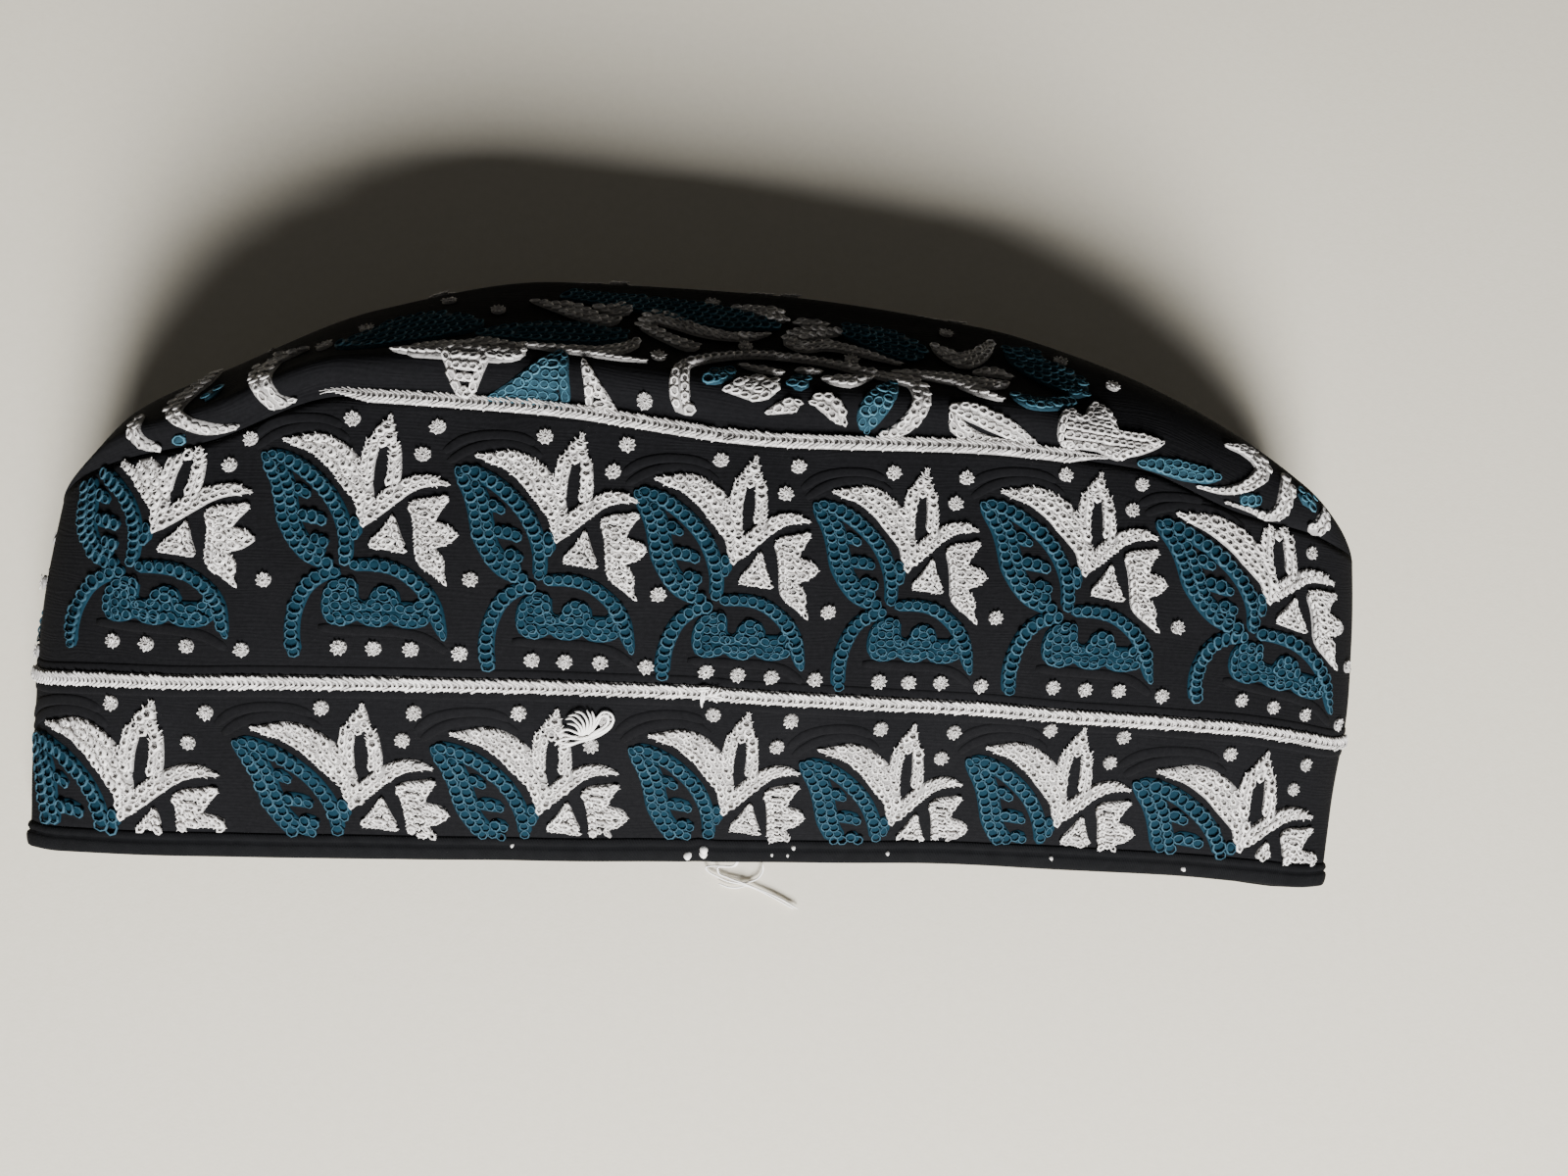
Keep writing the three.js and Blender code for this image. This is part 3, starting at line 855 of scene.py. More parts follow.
@dataclass(frozen=True)
class Patch:
    """A closed shape of a chart, as one ribbon inside its outline and level ribbons across the rest."""

    corners: Array
    ribbon: float = 1.75
    sharpest: float = 0.45
    inset: float = 0.9
    least: float = 0.35
    room: float = 1.2
    step: float = 0.2
    fewest: int = 8

    def traces(self) -> list[Trace]:
        """Give all ribbons of the shape."""
        return [self.edge()] + self.levels()

    def edge(self) -> Trace:
        """Give the ribbon that follows the outline, half its width inside it."""
        before, after = np.roll(self.corners, 1, 0), np.roll(self.corners, -1, 0)
        area = np.sum(self.corners[:, 0] * after[:, 1] - after[:, 0] * self.corners[:, 1])
        side = math.copysign(1.0, area)
        inward = [
            unit(np.stack([step[:, 1], -step[:, 0]], -1)) * -side
            for step in (self.corners - before, after - self.corners)
        ]
        middle = inward[0] + inward[1]
        openness = np.clip(0.5 * np.linalg.norm(middle, axis=1), self.sharpest, 1.0)
        places = self.corners + unit(middle) * 0.5 * self.ribbon
        rows = np.column_stack([places, 0.5 * self.ribbon * openness])
        return Trace.through(tuple(map(tuple, np.concatenate([rows, rows[:1]]))))

    def levels(self) -> list[Trace]:
        """Give the level ribbons between the sides of the outline's ribbon."""
        low, high = self.corners[:, 1].min() + self.room, self.corners[:, 1].max() - self.room
        rows = max(1, round((high - low) / self.ribbon))
        found = []
        for v in low + (np.arange(rows) + 0.5) * (high - low) / rows:
            for left, right in self.crossings(v):
                left, right = left + self.inset * self.ribbon, right - self.inset * self.ribbon
                if right - left > self.least * self.ribbon:
                    count = max(self.fewest, int((right - left) / self.step))
                    u = np.linspace(left, right, count)
                    level, half = np.full(u.shape, v), np.full(u.shape, 0.5 * self.ribbon)
                    found.append(Trace.from_points(u, level, half))
        return found

    def crossings(self, v: float) -> Spots:
        """Give the stretches of a level line that are inside the outline.

        Args:
            v: The line's place up the cloth.

        Returns:
            The left and right end of each stretch.
        """
        first, second = self.corners, np.roll(self.corners, -1, 0)
        meets = (first[:, 1] > v) != (second[:, 1] > v)
        first, second = first[meets], second[meets]
        share = (v - first[:, 1]) / (second[:, 1] - first[:, 1])
        ends = np.sort(first[:, 0] + share * (second[:, 0] - first[:, 0]))
        return [(float(a), float(b)) for a, b in zip(ends[::2], ends[1::2])]


@dataclass
class Layout:
    """Stitches laid on a cloth grid."""

    u: Array
    v: Array
    heading: Array
    length: Array
    width: Array

    @classmethod
    def joined(cls, layouts: list["Layout"]) -> "Layout":
        """Join several layouts."""
        names = ("u", "v", "heading", "length", "width")
        return cls(*[np.concatenate([getattr(item, name) for item in layouts]) for name in names])

    def kept(self, mask: Array) -> "Layout":
        """Keep the stitches that the mask names."""
        return Layout(self.u[mask], self.v[mask], self.heading[mask], self.length[mask], self.width[mask])

    def fringe(self, reach: float = 0.92, share: float = 0.3, steps: float = 6.0) -> "Layout":
        """Give two open stitches over each closed one, for the shapes' ragged edges.

        Args:
            reach: Their width, against the closed stitch's.
            share: Their length, against the closed stitch's.
            steps: The closed stitch's length, against their distance from its middle.

        Returns:
            The open stitches.
        """
        step = self.length / steps
        step_u, step_v = step * np.cos(self.heading), step * np.sin(self.heading)
        size = self.length * share, self.width * reach
        places = [(self.u + side * step_u, self.v + side * step_v) for side in (-1, 1)]
        return Layout.joined([Layout(*place, self.heading, *size) for place in places])

    def placed(self, place: "Place") -> "Layout":
        """Give the stitches moved to their place."""
        ahead = place.turned(np.cos(self.heading), np.sin(self.heading))
        heading = np.arctan2(ahead[1], ahead[0])
        size = place.size
        return Layout(*place.moved(self.u, self.v), heading, self.length * size, self.width * size)


@dataclass(frozen=True)
class ChainStitch:
    """How a thread's chain stitch is laid: its pitch along a row and its width across."""

    pitch: float
    width: float
    overlap: float
    spread: float = 1.12
    narrowest: float = 0.5
    clearance: float = 0.5
    stagger: float = 0.25
    margin: float = 0.1
    ahead: float = 0.5

    def fill(self, traces: list[Trace]) -> Layout:
        """Fill ribbons with rows of chain stitch that follow their edges.

        Args:
            traces: The ribbons, in the order they are sewn.

        Returns:
            The stitches, without those that would fall on an earlier ribbon's.
        """
        near = (self.clearance * min(self.pitch, self.width)) ** 2
        sewn = np.zeros((0, 5))
        for trace in traces:
            rows = self._rows(trace)
            if len(sewn):
                gap = (rows[:, None, :2] - sewn[None, :, :2]) ** 2
                rows = rows[gap.sum(2).min(1) > near]
            sewn = np.concatenate([sewn, rows])
        return Layout(*sewn.T)

    def _rows(self, trace: Trace) -> Array:
        """Lay the rows of one ribbon.

        Args:
            trace: The ribbon.

        Returns:
            A row of u, v, heading, length and width for each stitch.
        """
        total = trace.s[-1]
        count = max(1, round(total / self.pitch))
        pitch = total / count
        stitches = []
        for step in range(count):
            middle = (step + 0.5) * pitch
            rows = max(1, round(2 * float(trace.read(middle)[2]) / self.width))
            for row in range(rows):
                shift = 0.0 if rows == 1 else (self.stagger if row % 2 else -self.stagger)
                s = middle + shift * pitch
                u, v, half, heading = (float(part) for part in trace.read(s))
                share = (2 * row + 1) / rows - 1
                slope = (float(trace.read(s + self.ahead)[2]) - half) / self.ahead
                place = share * max(half - self.margin, 0.0)
                width = max(2 * half / rows, self.narrowest * self.width)
                spot = u - math.sin(heading) * place, v + math.cos(heading) * place
                size = pitch * self.overlap, width * self.spread
                stitches.append((*spot, heading + math.atan(slope * share), *size))
        return np.array(stitches)


WHITE_CHAIN = ChainStitch(pitch=1.7, width=1.7, overlap=1.5)
TEAL_CHAIN = ChainStitch(pitch=1.85, width=2.1, overlap=1.3, spread=1.24)


@dataclass(frozen=True)
class Rosette:
    """A round dot: a ring of short stitches that point outwards, over a raised disc."""

    reach: float = 0.98
    petals: int = 9
    petal_length: float = 1.35
    petal_width: float = 0.72
    middle_width: float = 1.1
    twist: float = 0.3
    disc: float = 1.5
    height: float = 0.36
    sunk: float = 0.25
    shoulder: float = 0.55
    top: float = 0.6

    def layout(self, places: Spots) -> Layout:
        """Lay the stitches of every dot.

        Args:
            places: Where the dots are.

        Returns:
            The stitches.
        """
        found = []
        for u, v in places:
            angle = np.arange(self.petals) * 2 * math.pi / self.petals + self.twist * u
            reach = np.append(np.full(self.petals, self.reach), 0.0)
            turn = np.append(angle, angle[0])
            length = np.full(turn.shape, self.petal_length)
            width = np.append(np.full(self.petals, self.petal_width), self.middle_width)
            found.append(Layout(u + reach * np.cos(turn), v + reach * np.sin(turn), turn, length, width))
        return Layout.joined(found)

    def disc_at(self, surface: ClothSurface, u: float, v: float, sides: int = 12) -> Solid:
        """Build the raised disc under a dot.

        Args:
            surface: The cloth.
            u: The dot's place along the cloth.
            v: Its place up the cloth.
            sides: How many sides the disc has.

        Returns:
            Points and faces.
        """
        angle = np.arange(sides) * 2 * math.pi / sides
        rings = ((1.0, -self.sunk), (1.0, self.shoulder * self.height), (self.top, self.height))
        points = []
        for share, lift in rings:
            reach = self.disc * share
            side_u, side_v = reach * np.cos(angle), reach * np.sin(angle)
            points.append(surface.at(u + side_u, v + side_v, np.full(sides, lift)))
        return np.concatenate(points), sleeve_faces(len(rings), sides, upward=True)


# Node trees as Python


class Wire:
    """A socket of a node tree that takes part in arithmetic."""

    def __init__(self, kit: "NodeKit", socket: bpy.types.NodeSocket | None) -> None:
        self.kit = kit
        self.socket = socket

    def _maths(self, operation: str, first: "Wire | float", second: "Wire | float" = 0.0) -> "Wire":
        """Add one Math node."""
        return self.kit.node("ShaderNodeMath", {"operation": operation}, {0: first, 1: second})

    def __add__(self, other: "Wire | float") -> "Wire":
        """Add."""
        return self._maths("ADD", self, other)

    def __sub__(self, other: "Wire | float") -> "Wire":
        """Subtract."""
        return self._maths("SUBTRACT", self, other)

    def __rsub__(self, other: float) -> "Wire":
        """Subtract, reflected."""
        return self._maths("SUBTRACT", other, self)

    def __mul__(self, other: "Wire | float") -> "Wire":
        """Multiply."""
        return self._maths("MULTIPLY", self, other)

    __radd__ = __add__
    __rmul__ = __mul__

    def sine(self) -> "Wire":
        """Take the sine."""
        return self._maths("SINE", self)

    def parts(self) -> tuple["Wire", "Wire", "Wire"]:
        """Split a vector into its three numbers."""
        node = self.kit.tree.nodes.new("ShaderNodeSeparateXYZ")
        self.kit.tree.links.new(self.socket, node.inputs[0])
        return tuple(Wire(self.kit, socket) for socket in node.outputs)


class NodeKit:
    """Adds nodes to one tree."""

    def __init__(self, tree: bpy.types.NodeTree) -> None:
        """Keep the tree."""
        self.tree = tree

    def node(
        self, kind: str, settings: dict | None = None, inputs: dict | None = None, output: int | str = 0
    ) -> Wire:
        """Add a node of any type.

        Args:
            kind: The node's type.
            settings: Its settings, such as a Math node's operation.
            inputs: Values or wires for its sockets, by name or index.
            output: The socket that the wire comes from.

        Returns:
            The output as a wire.
        """
        node = self.tree.nodes.new(kind)
        for name, value in (settings or {}).items():
            setattr(node, name, value)
        for name, value in (inputs or {}).items():
            if isinstance(value, Wire):
                self.tree.links.new(value.socket, node.inputs[name])
            else:
                node.inputs[name].default_value = value
        return Wire(self, node.outputs[output] if len(node.outputs) else None)

    def mix(self, factor: Wire | float, first: Wire | tuple, second: Wire | tuple) -> Wire:
        """Mix two colours.

        Args:
            factor: The share of the second.
            first: The first colour.
            second: The second colour.

        Returns:
            The mixed colour.
        """
        return self.node("ShaderNodeMix", {"data_type": "RGBA"}, {0: factor, 6: first, 7: second}, 2)

    def noise(self, place: Wire, scale: float, detail: float = 3.0) -> Wire:
        """Add a noise of about one cell for each 1/scale metres."""
        inputs = {"Vector": place, "Scale": scale, "Detail": detail}
        return self.node("ShaderNodeTexNoise", inputs=inputs)


def shade(color: tuple[float, float, float]) -> tuple[float, float, float, float]:
    """Give a colour with full alpha."""
    return (*color, 1.0)


@dataclass(frozen=True)
class Finish:
    """What every finish has: two colours that it varies between, a roughness and a fine relief."""

    name: str
    dark: tuple[float, float, float]
    light: tuple[float, float, float]
    roughness: float
    relief_depth: float
    specular: float = 0.2
    sheen: float = 0.0

    def build(self) -> bpy.types.Material:
        """Build the material.

        Returns:
            The material.
        """
        material = bpy.data.materials.new(self.name)
        material.use_nodes = True
        material.node_tree.nodes.clear()
        kit = NodeKit(material.node_tree)
        place = kit.node("ShaderNodeTexCoord", output="Object")
        relief = {"Distance": self.relief_depth * MM, "Height": self.relief(kit, place)}
        inputs = {
            "Base Color": kit.mix(self.tone(kit, place), shade(self.dark), shade(self.light)),
            "Roughness": self.roughness,
            "Sheen Weight": self.sheen,
            "Specular IOR Level": self.specular,
            "Normal": kit.node("ShaderNodeBump", inputs=relief),
        }
        surface = kit.node("ShaderNodeBsdfPrincipled", inputs=inputs)
        kit.node("ShaderNodeOutputMaterial", inputs={"Surface": surface})
        return material

    def tone(self, kit: NodeKit, place: Wire) -> Wire:
        """Give the share of the light colour over the surface."""
        raise NotImplementedError

    def relief(self, kit: NodeKit, place: Wire) -> Wire:
        """Give the height of the fine relief."""
        raise NotImplementedError


@dataclass(frozen=True)
class ClothFinish(Finish):
    """Black cloth covered with close, uneven rows of black stitches."""

    row_pitch: float = 0.85
    row_drift: float = 30.0
    bead_rate: float = 0.55
    bead_drift: float = 40.0
    bead_depth: float = 0.4
    drift_scale: tuple[float, float, float] = (1.6, 9.0, 3.0)
    patch_scale: float = 260.0
    patch_gain: tuple[float, float] = (1.8, -0.4)
    fuzz_scale: float = 1900.0
    lint_scale: float = 1100.0
    worn_scale: float = 35.0

    def rows(self, kit: NodeKit, place: Wire) -> Wire:
        """Give the rows of stitches as a height from 0 to 1."""
        along, up, _ = kit.node("ShaderNodeUVMap", {"uv_map": "cloth"}).parts()
        across, over, scale = self.drift_scale
        stretched = kit.node("ShaderNodeCombineXYZ", inputs={0: along * across, 1: up * over})
        drift = kit.noise(stretched, scale, 2.0)
        turns = 2 * math.pi / (UV_STEP * self.row_pitch)
        row = (up * turns + drift * self.row_drift).sine() * 0.5 + 0.5
        beads = (along * turns * self.bead_rate + drift * self.bead_drift).sine() * 0.5 + 0.5
        gain, base = self.patch_gain
        patches = kit.noise(place, self.patch_scale) * gain + base
        return row * (beads * self.bead_depth + (1 - self.bead_depth)) * patches

    def relief(self, kit: NodeKit, place: Wire) -> Wire:
        """Give the stitches' relief and the cloth's fuzz."""
        return self.rows(kit, place) + kit.noise(place, self.fuzz_scale) * 0.8

    def tone(self, kit: NodeKit, place: Wire) -> Wire:
        """Give a black that is a little lighter on the raised rows of stitches, a painted highlight, and
        lighter where it is rubbed.
        """
        lint = kit.noise(place, self.lint_scale, 4.0)
        worn = kit.noise(place, self.worn_scale, 2.0)
        # The rows term is a painted highlight: lighter on the raised stitch rows, darker in the grooves
        # between them.
        return self.rows(kit, place) * 0.08 + lint * 0.6 + worn * 0.5 - 0.3


@dataclass(frozen=True)
class ThreadFinish(Finish):
    """Embroidery thread, with a tone of its own for each stitch."""

    fibre_scale: float = 2600.0
    twist_scale: float = 900.0
    cloud_scale: float = 420.0

    def relief(self, kit: NodeKit, place: Wire) -> Wire:
        """Give the fibres' relief."""
        return kit.noise(place, self.fibre_scale) * 0.6 + kit.noise(place, self.twist_scale, 1.0) * 0.4

    def tone(self, kit: NodeKit, place: Wire) -> Wire:
        """Give the thread's tone, stitch by stitch."""
        stitch = kit.node("ShaderNodeAttribute", {"attribute_name": "tone"}, output="Fac")
        return stitch * 0.55 + kit.noise(place, self.cloud_scale) * 0.9 - 0.22


@dataclass(frozen=True)
class TapeFinish(Finish):
    """Black tape with a fine slanted rib."""

    rib: tuple[float, float] = (1050.0, 700.0)
    fuzz_scale: float = 2200.0
    worn_scale: float = 320.0

    def relief(self, kit: NodeKit, place: Wire) -> Wire:
        """Give the tape's ribs and fuzz."""
        along, up, _ = kit.node("ShaderNodeUVMap", {"uv_map": "cloth"}).parts()
        ribs = (along * self.rib[0] + up * self.rib[1]).sine() * 0.5 + 0.5
        return ribs * 0.5 + kit.noise(place, self.fuzz_scale) * 0.6

    def tone(self, kit: NodeKit, place: Wire) -> Wire:
        """Give a black that is a little worn."""
        return kit.noise(place, self.worn_scale, 4.0)


@dataclass(frozen=True)
class PlainFinish(Finish):
    """A fuzzy ground with soft clouds in its colour."""

    fuzz_scale: float = 1500.0
    cloud_scale: float = 500.0

    def relief(self, kit: NodeKit, place: Wire) -> Wire:
        """Give the ground's fuzz."""
        return kit.noise(place, self.fuzz_scale)

    def tone(self, kit: NodeKit, place: Wire) -> Wire:
        """Give the ground's clouds."""
        return kit.noise(place, self.cloud_scale)


BLACK_CLOTH = ClothFinish(
    "quilted_black_cloth", (0.0028, 0.0028, 0.0033), (0.0092, 0.0092, 0.0104),
    roughness=0.95, relief_depth=0.08, specular=0.08,
)
BINDING_TAPE = TapeFinish(
    "black_binding_tape", (0.0022, 0.0023, 0.0027), (0.006, 0.0062, 0.007),
    roughness=0.9, relief_depth=0.15, specular=0.06,
)
WHITE_THREAD = ThreadFinish(
    "white_thread_loops", (0.36, 0.342, 0.33), (0.90, 0.87, 0.84),
    roughness=0.75, relief_depth=0.16, specular=0.25, sheen=0.1,
)
# Painted shade: the ground under the white loops is a darker copy of the white thread, for the shade in the
# hollows between the loops.
WHITE_GROUND_PAINTED_SHADE = PlainFinish(
    "white_thread_ground", (0.14, 0.134, 0.13), (0.38, 0.366, 0.354), roughness=0.85, relief_depth=0.35
)
# Painted light: the loose threads are a lighter white than the sewn thread, to offset the shade on the thin
# tail lying on the floor.
LOOSE_THREAD_PAINTED_LIGHT = PlainFinish(
    "loose_white_thread", (0.78, 0.76, 0.73), (0.95, 0.93, 0.90), roughness=0.6, relief_depth=0.1, sheen=0.2
)
TEAL_THREAD = ThreadFinish(
    "teal_thread_loops", (0.009, 0.034, 0.052), (0.036, 0.086, 0.118),
    roughness=0.7, relief_depth=0.16, specular=0.12,
)
# Painted shade: the ground under the teal loops is a darker copy of the teal thread, for the shade in the
# holes of the links.
TEAL_GROUND_PAINTED_SHADE = PlainFinish(
    "teal_thread_ground", (0.002, 0.012, 0.021), (0.005, 0.024, 0.038),
    roughness=0.85, relief_depth=0.12, specular=0.08,
)
# Painted light: lighter copies of the teal thread and its ground for the crown, standing in for light in the
# crown's shade.
TEAL_THREAD_PAINTED_LIGHT = ThreadFinish(
    "crown_teal_thread", (0.022, 0.08, 0.115), (0.075, 0.18, 0.235),
    roughness=0.7, relief_depth=0.16, specular=0.12,
)
# Painted light and shade: lighter than the band's teal ground to lift the crown's shade, and darker than its
# thread as painted shade between the loops.
TEAL_GROUND_PAINTED_LIGHT_AND_SHADE = PlainFinish(
    "crown_teal_ground", (0.005, 0.022, 0.034), (0.012, 0.045, 0.065), roughness=0.85, relief_depth=0.3
)
PALE_FLOOR = PlainFinish(
    "pale_floor", (0.71, 0.66, 0.545), (0.77, 0.72, 0.605), roughness=0.5, relief_depth=0.02
)


# Meshes


def put(name: str, data: bpy.types.ID) -> bpy.types.Object:
    """Put a new object into the scene, at the world's origin."""
    made = bpy.data.objects.new(name, data)
    bpy.context.scene.collection.objects.link(made)
    return made


def mesh_piece(
    name: str, solid: Solid, material: bpy.types.Material, grid: Array | None = None
) -> bpy.types.Object:
    """Make a piece from points and faces.

    Args:
        name: The piece's name.
        solid: Its points in millimetres, and its faces as point numbers.
        material: Its finish.
        grid: The cloth grid's place of each point in millimetres, for the UV map.

    Returns:
        The piece, with smooth faces.
    """
    points, faces = solid
    mesh = bpy.data.meshes.new(name)
    mesh.from_pydata((points * MM).tolist(), [], [tuple(int(corner) for corner in face) for face in faces])
    if grid is not None:
        layer = mesh.uv_layers.new(name="cloth")
        corners = np.zeros(len(mesh.loops), np.int32)
        mesh.loops.foreach_get("vertex_index", corners)
        layer.data.foreach_set("uv", (grid[corners] * UV_STEP).astype(np.float32).ravel())
    mesh.polygons.foreach_set("use_smooth", np.ones(len(mesh.polygons), bool))
    mesh.materials.append(material)
    return put(name, mesh)


def ring_faces(rings: int, count: int) -> Faces:
    """Give the faces that join rings of points, the last one to the first.

    Args:
        rings: How many rings there are.
        count: How many points each has.

    Returns:
        Four-cornered faces.
    """
    faces = []
    for ring in range(rings):
        low, high = ring * count, (ring + 1) % rings * count
        for step in range(count):
            right = (step + 1) % count
            faces.append((low + step, low + right, high + right, high + step))
    return faces


def sleeve_faces(rings: int, count: int, upward: bool = False) -> Faces:
    """Give the faces of a sleeve of rings, closed at both ends.

    Args:
        rings: How many rings of points there are.
        count: How many points each has.
        upward: Whether the rings run the way round that faces of ring_faces do.

    Returns:
        Its walls, its first end and its last end.
    """
    last = (rings - 1) * count
    walls = ring_faces(rings, count)[:last]
    ends = [tuple(reversed(range(count))), tuple(range(last, last + count))]
    if upward:
        return walls + ends
    return [(face[0], *reversed(face[1:])) for face in walls] + [face[::-1] for face in ends]


def joined(solids: list[Solid]) -> Solid:
    """Join several solids' points and faces.

    Args:
        solids: The solids.

    Returns:
        One list of points and one of faces.
    """
    faces, base = [], 0
    for points, around in solids:
        faces += [tuple(base + corner for corner in face) for face in around]
        base += len(points)
    return np.concatenate([points for points, _ in solids]), faces


# Geometry Nodes for the stitches


class StitchShape(Enum):
    """The shape of one stitch."""

    LOOP = "loop"
    CHEVRON = "chevron"


class StitchTree:
    """Geometry Nodes that put one stitch of thread on each place of a layout."""

    sizes = ("Loop Length", "Loop Width", "Thread Radius", "Rise", "Unevenness")
    narrowing = 0.14
    stream_step = 37.0

    def __init__(self, name: str, shape: StitchShape, path_steps: int, thread_sides: int = 3) -> None:
        """Build the tree.

        Args:
            name: The tree's name.
            shape: The shape of one stitch.
            path_steps: How many points its path has.
            thread_sides: How many sides its thread has.
        """
        self.tree = bpy.data.node_groups.new(name, "GeometryNodeTree")
        self.kit = NodeKit(self.tree)
        floats = [(size, "Float") for size in self.sizes]
        for label, kind in [("Geometry", "Geometry"), *floats, ("Seed", "Int"), ("Finish", "Material")]:
            self.tree.interface.new_socket(label, in_out="INPUT", socket_type="NodeSocket" + kind)
        self.tree.interface.new_socket("Geometry", in_out="OUTPUT", socket_type="NodeSocketGeometry")
        group = self.tree.nodes.new("NodeGroupInput")
        self.wires = {socket.name: Wire(self.kit, socket) for socket in group.outputs if socket.name}
        path = self._loop(path_steps) if shape is StitchShape.LOOP else self._chevron(path_steps)
        self._finish(self._sewn(self._thread(path, thread_sides)))

    def _loop(self, steps: int) -> Wire:
        """Give the path of a closed loop that rises at its head."""
        inputs = {"Resolution": steps, "Radius": 1.0}
        circle = self.kit.node("GeometryNodeCurvePrimitiveCircle", inputs=inputs)
        x, y, _ = self.kit.node("GeometryNodeInputPosition").parts()
        radius = self.wires["Thread Radius"]
        forward = x * (self.wires["Loop Length"] * 0.5 - radius)
        taper = x * self.narrowing + (1 - self.narrowing)
        side = y * taper * (self.wires["Loop Width"] * 0.5 - radius)
        return self._bent(circle, forward, side, (x * 0.5 + 0.5) * self.wires["Rise"])

    def _chevron(self, steps: int) -> Wire:
        """Give the path of an open chevron that rises at its point."""
        ends = {"Start": (0, -1, 0), "End": (0, 1, 0)}
        line = self.kit.node("GeometryNodeCurvePrimitiveLine", inputs=ends)
        line = self.kit.node("GeometryNodeResampleCurve", inputs={"Curve": line, "Count": steps})
        _, y, _ = self.kit.node("GeometryNodeInputPosition").parts()
        forward = (0.5 - y * y) * self.wires["Loop Length"]
        side = y * (self.wires["Loop Width"] * 0.5 - self.wires["Thread Radius"])
        return self._bent(line, forward, side, (1.0 - y * y) * self.wires["Rise"])

    def _bent(self, path: Wire, forward: Wire, side: Wire, rise: Wire) -> Wire:
        """Move a path's points to their places."""
        place = self.kit.node("ShaderNodeCombineXYZ", inputs={0: forward, 1: side, 2: rise})
        return self.kit.node("GeometryNodeSetPosition", inputs={"Geometry": path, "Position": place})

    def _thread(self, path: Wire, sides: int) -> Wire:
        """Lay a thread along a path.

        Args:
            path: The path.
            sides: How many sides the thread has.

        Returns:
            The thread's mesh.
        """
        size = {"Resolution": sides, "Radius": self.wires["Thread Radius"]}
        profile = self.kit.node("GeometryNodeCurvePrimitiveCircle", inputs=size)
        inputs = {"Curve": path, "Profile Curve": profile, "Fill Caps": True}
        mesh = self.kit.node("GeometryNodeCurveToMesh", inputs=inputs)
        return self.kit.node("GeometryNodeSetShadeSmooth", inputs={"Geometry": mesh})

    def _stored(self, name: str) -> Wire:
        """Read a vector that is stored on each place."""
        settings = {"data_type": "FLOAT_VECTOR"}
        return self.kit.node("GeometryNodeInputNamedAttribute", settings, {"Name": name})

    def _sewn(self, stitch: Wire) -> Wire:
        """Put the stitch on each place, at its own size and turn and a little uneven."""
        kit, uneven = self.kit, self.wires["Unevenness"]
        spread = self._random(-1.0, 1.0, 0) * uneven + 1.0
        inputs = {0: self._stored("size"), "Scale": spread}
        scale = kit.node("ShaderNodeVectorMath", {"operation": "SCALE"}, inputs)
        yaw = kit.node("ShaderNodeCombineXYZ", inputs={2: self._random(-1.0, 1.0, 1) * uneven})
        laid = kit.node("FunctionNodeEulerToRotation", inputs={0: self._stored("turn")})
        swing = kit.node("FunctionNodeEulerToRotation", inputs={0: yaw})
        rotation = kit.node("FunctionNodeRotateRotation", {"rotation_space": "LOCAL"}, {0: laid, 1: swing})
        points = self.wires["Geometry"]
        inputs = {"Points": points, "Instance": stitch, "Rotation": rotation, "Scale": scale}
        placed = kit.node("GeometryNodeInstanceOnPoints", inputs=inputs)
        inputs = {"Geometry": placed, "Name": "tone", "Value": self._random(0.0, 1.0, 2)}
        settings = {"data_type": "FLOAT", "domain": "INSTANCE"}
        return kit.node("GeometryNodeStoreNamedAttribute", settings, inputs)

    def _random(self, low: float, high: float, stream: int) -> Wire:
        """Give a random number for each stitch.

        Args:
            low: The least value.
            high: The greatest value.
            stream: Which of the tree's random numbers it is.

        Returns:
            The number.
        """
        node = self.tree.nodes.new("FunctionNodeRandomValue")
        node.data_type = "FLOAT"
        named = {socket.name: socket for socket in node.inputs if socket.enabled}
        named["Min"].default_value = low
        named["Max"].default_value = high
        self.tree.links.new((self.wires["Seed"] + stream * self.stream_step).socket, named["Seed"])
        return Wire(self.kit, next(socket for socket in node.outputs if socket.enabled))

    def _finish(self, stitches: Wire) -> None:
        """End the tree in realized instances with their finish."""
        real = self.kit.node("GeometryNodeRealizeInstances", inputs={"Geometry": stitches})
        inputs = {"Geometry": real, "Material": self.wires["Finish"]}
        done = self.kit.node("GeometryNodeSetMaterial", inputs=inputs)
        output = self.tree.nodes.new("NodeGroupOutput")
        self.tree.links.new(done.socket, output.inputs[0])

    def sew(
        self, name: str, cloth: ClothSurface, layout: Layout, look: "ThreadLook", thread_finish: bpy.types.Material
    ) -> bpy.types.Object:
        """Sew a layout's stitches onto a cloth as one plain mesh.

        Args:
            name: The piece's name.
            cloth: The cloth.
            layout: The stitches.
            look: The thread's sizes.
            thread_finish: The thread's finish.

        Returns:
            The piece.
        """
        sizes = np.stack([layout.length, layout.width, layout.width], -1) * MM
        mesh = bpy.data.meshes.new(name)
        mesh.from_pydata((cloth.at(layout.u, layout.v, look.lift) * MM).tolist(), [], [])
        turns = cloth.turns(layout.u, layout.v, layout.heading)
        for label, values in (("turn", turns), ("size", sizes)):
            layer = mesh.attributes.new(label, "FLOAT_VECTOR", "POINT")
            layer.data.foreach_set("vector", values.astype(np.float32).ravel())
        piece = put(name, mesh)
        modifier = piece.modifiers.new("stitches", "NODES")
        modifier.node_group = self.tree
        values = {**look.inputs(), "Finish": thread_finish}
        for item in self.tree.interface.items_tree:
            if item.in_out == "INPUT" and item.name in values:
                modifier[item.identifier] = values[item.name]
        graph = bpy.context.evaluated_depsgraph_get()
        result = bpy.data.meshes.new_from_object(piece.evaluated_get(graph), depsgraph=graph)
        piece.modifiers.remove(modifier)
        piece.data = result
        result.name = name
        return piece


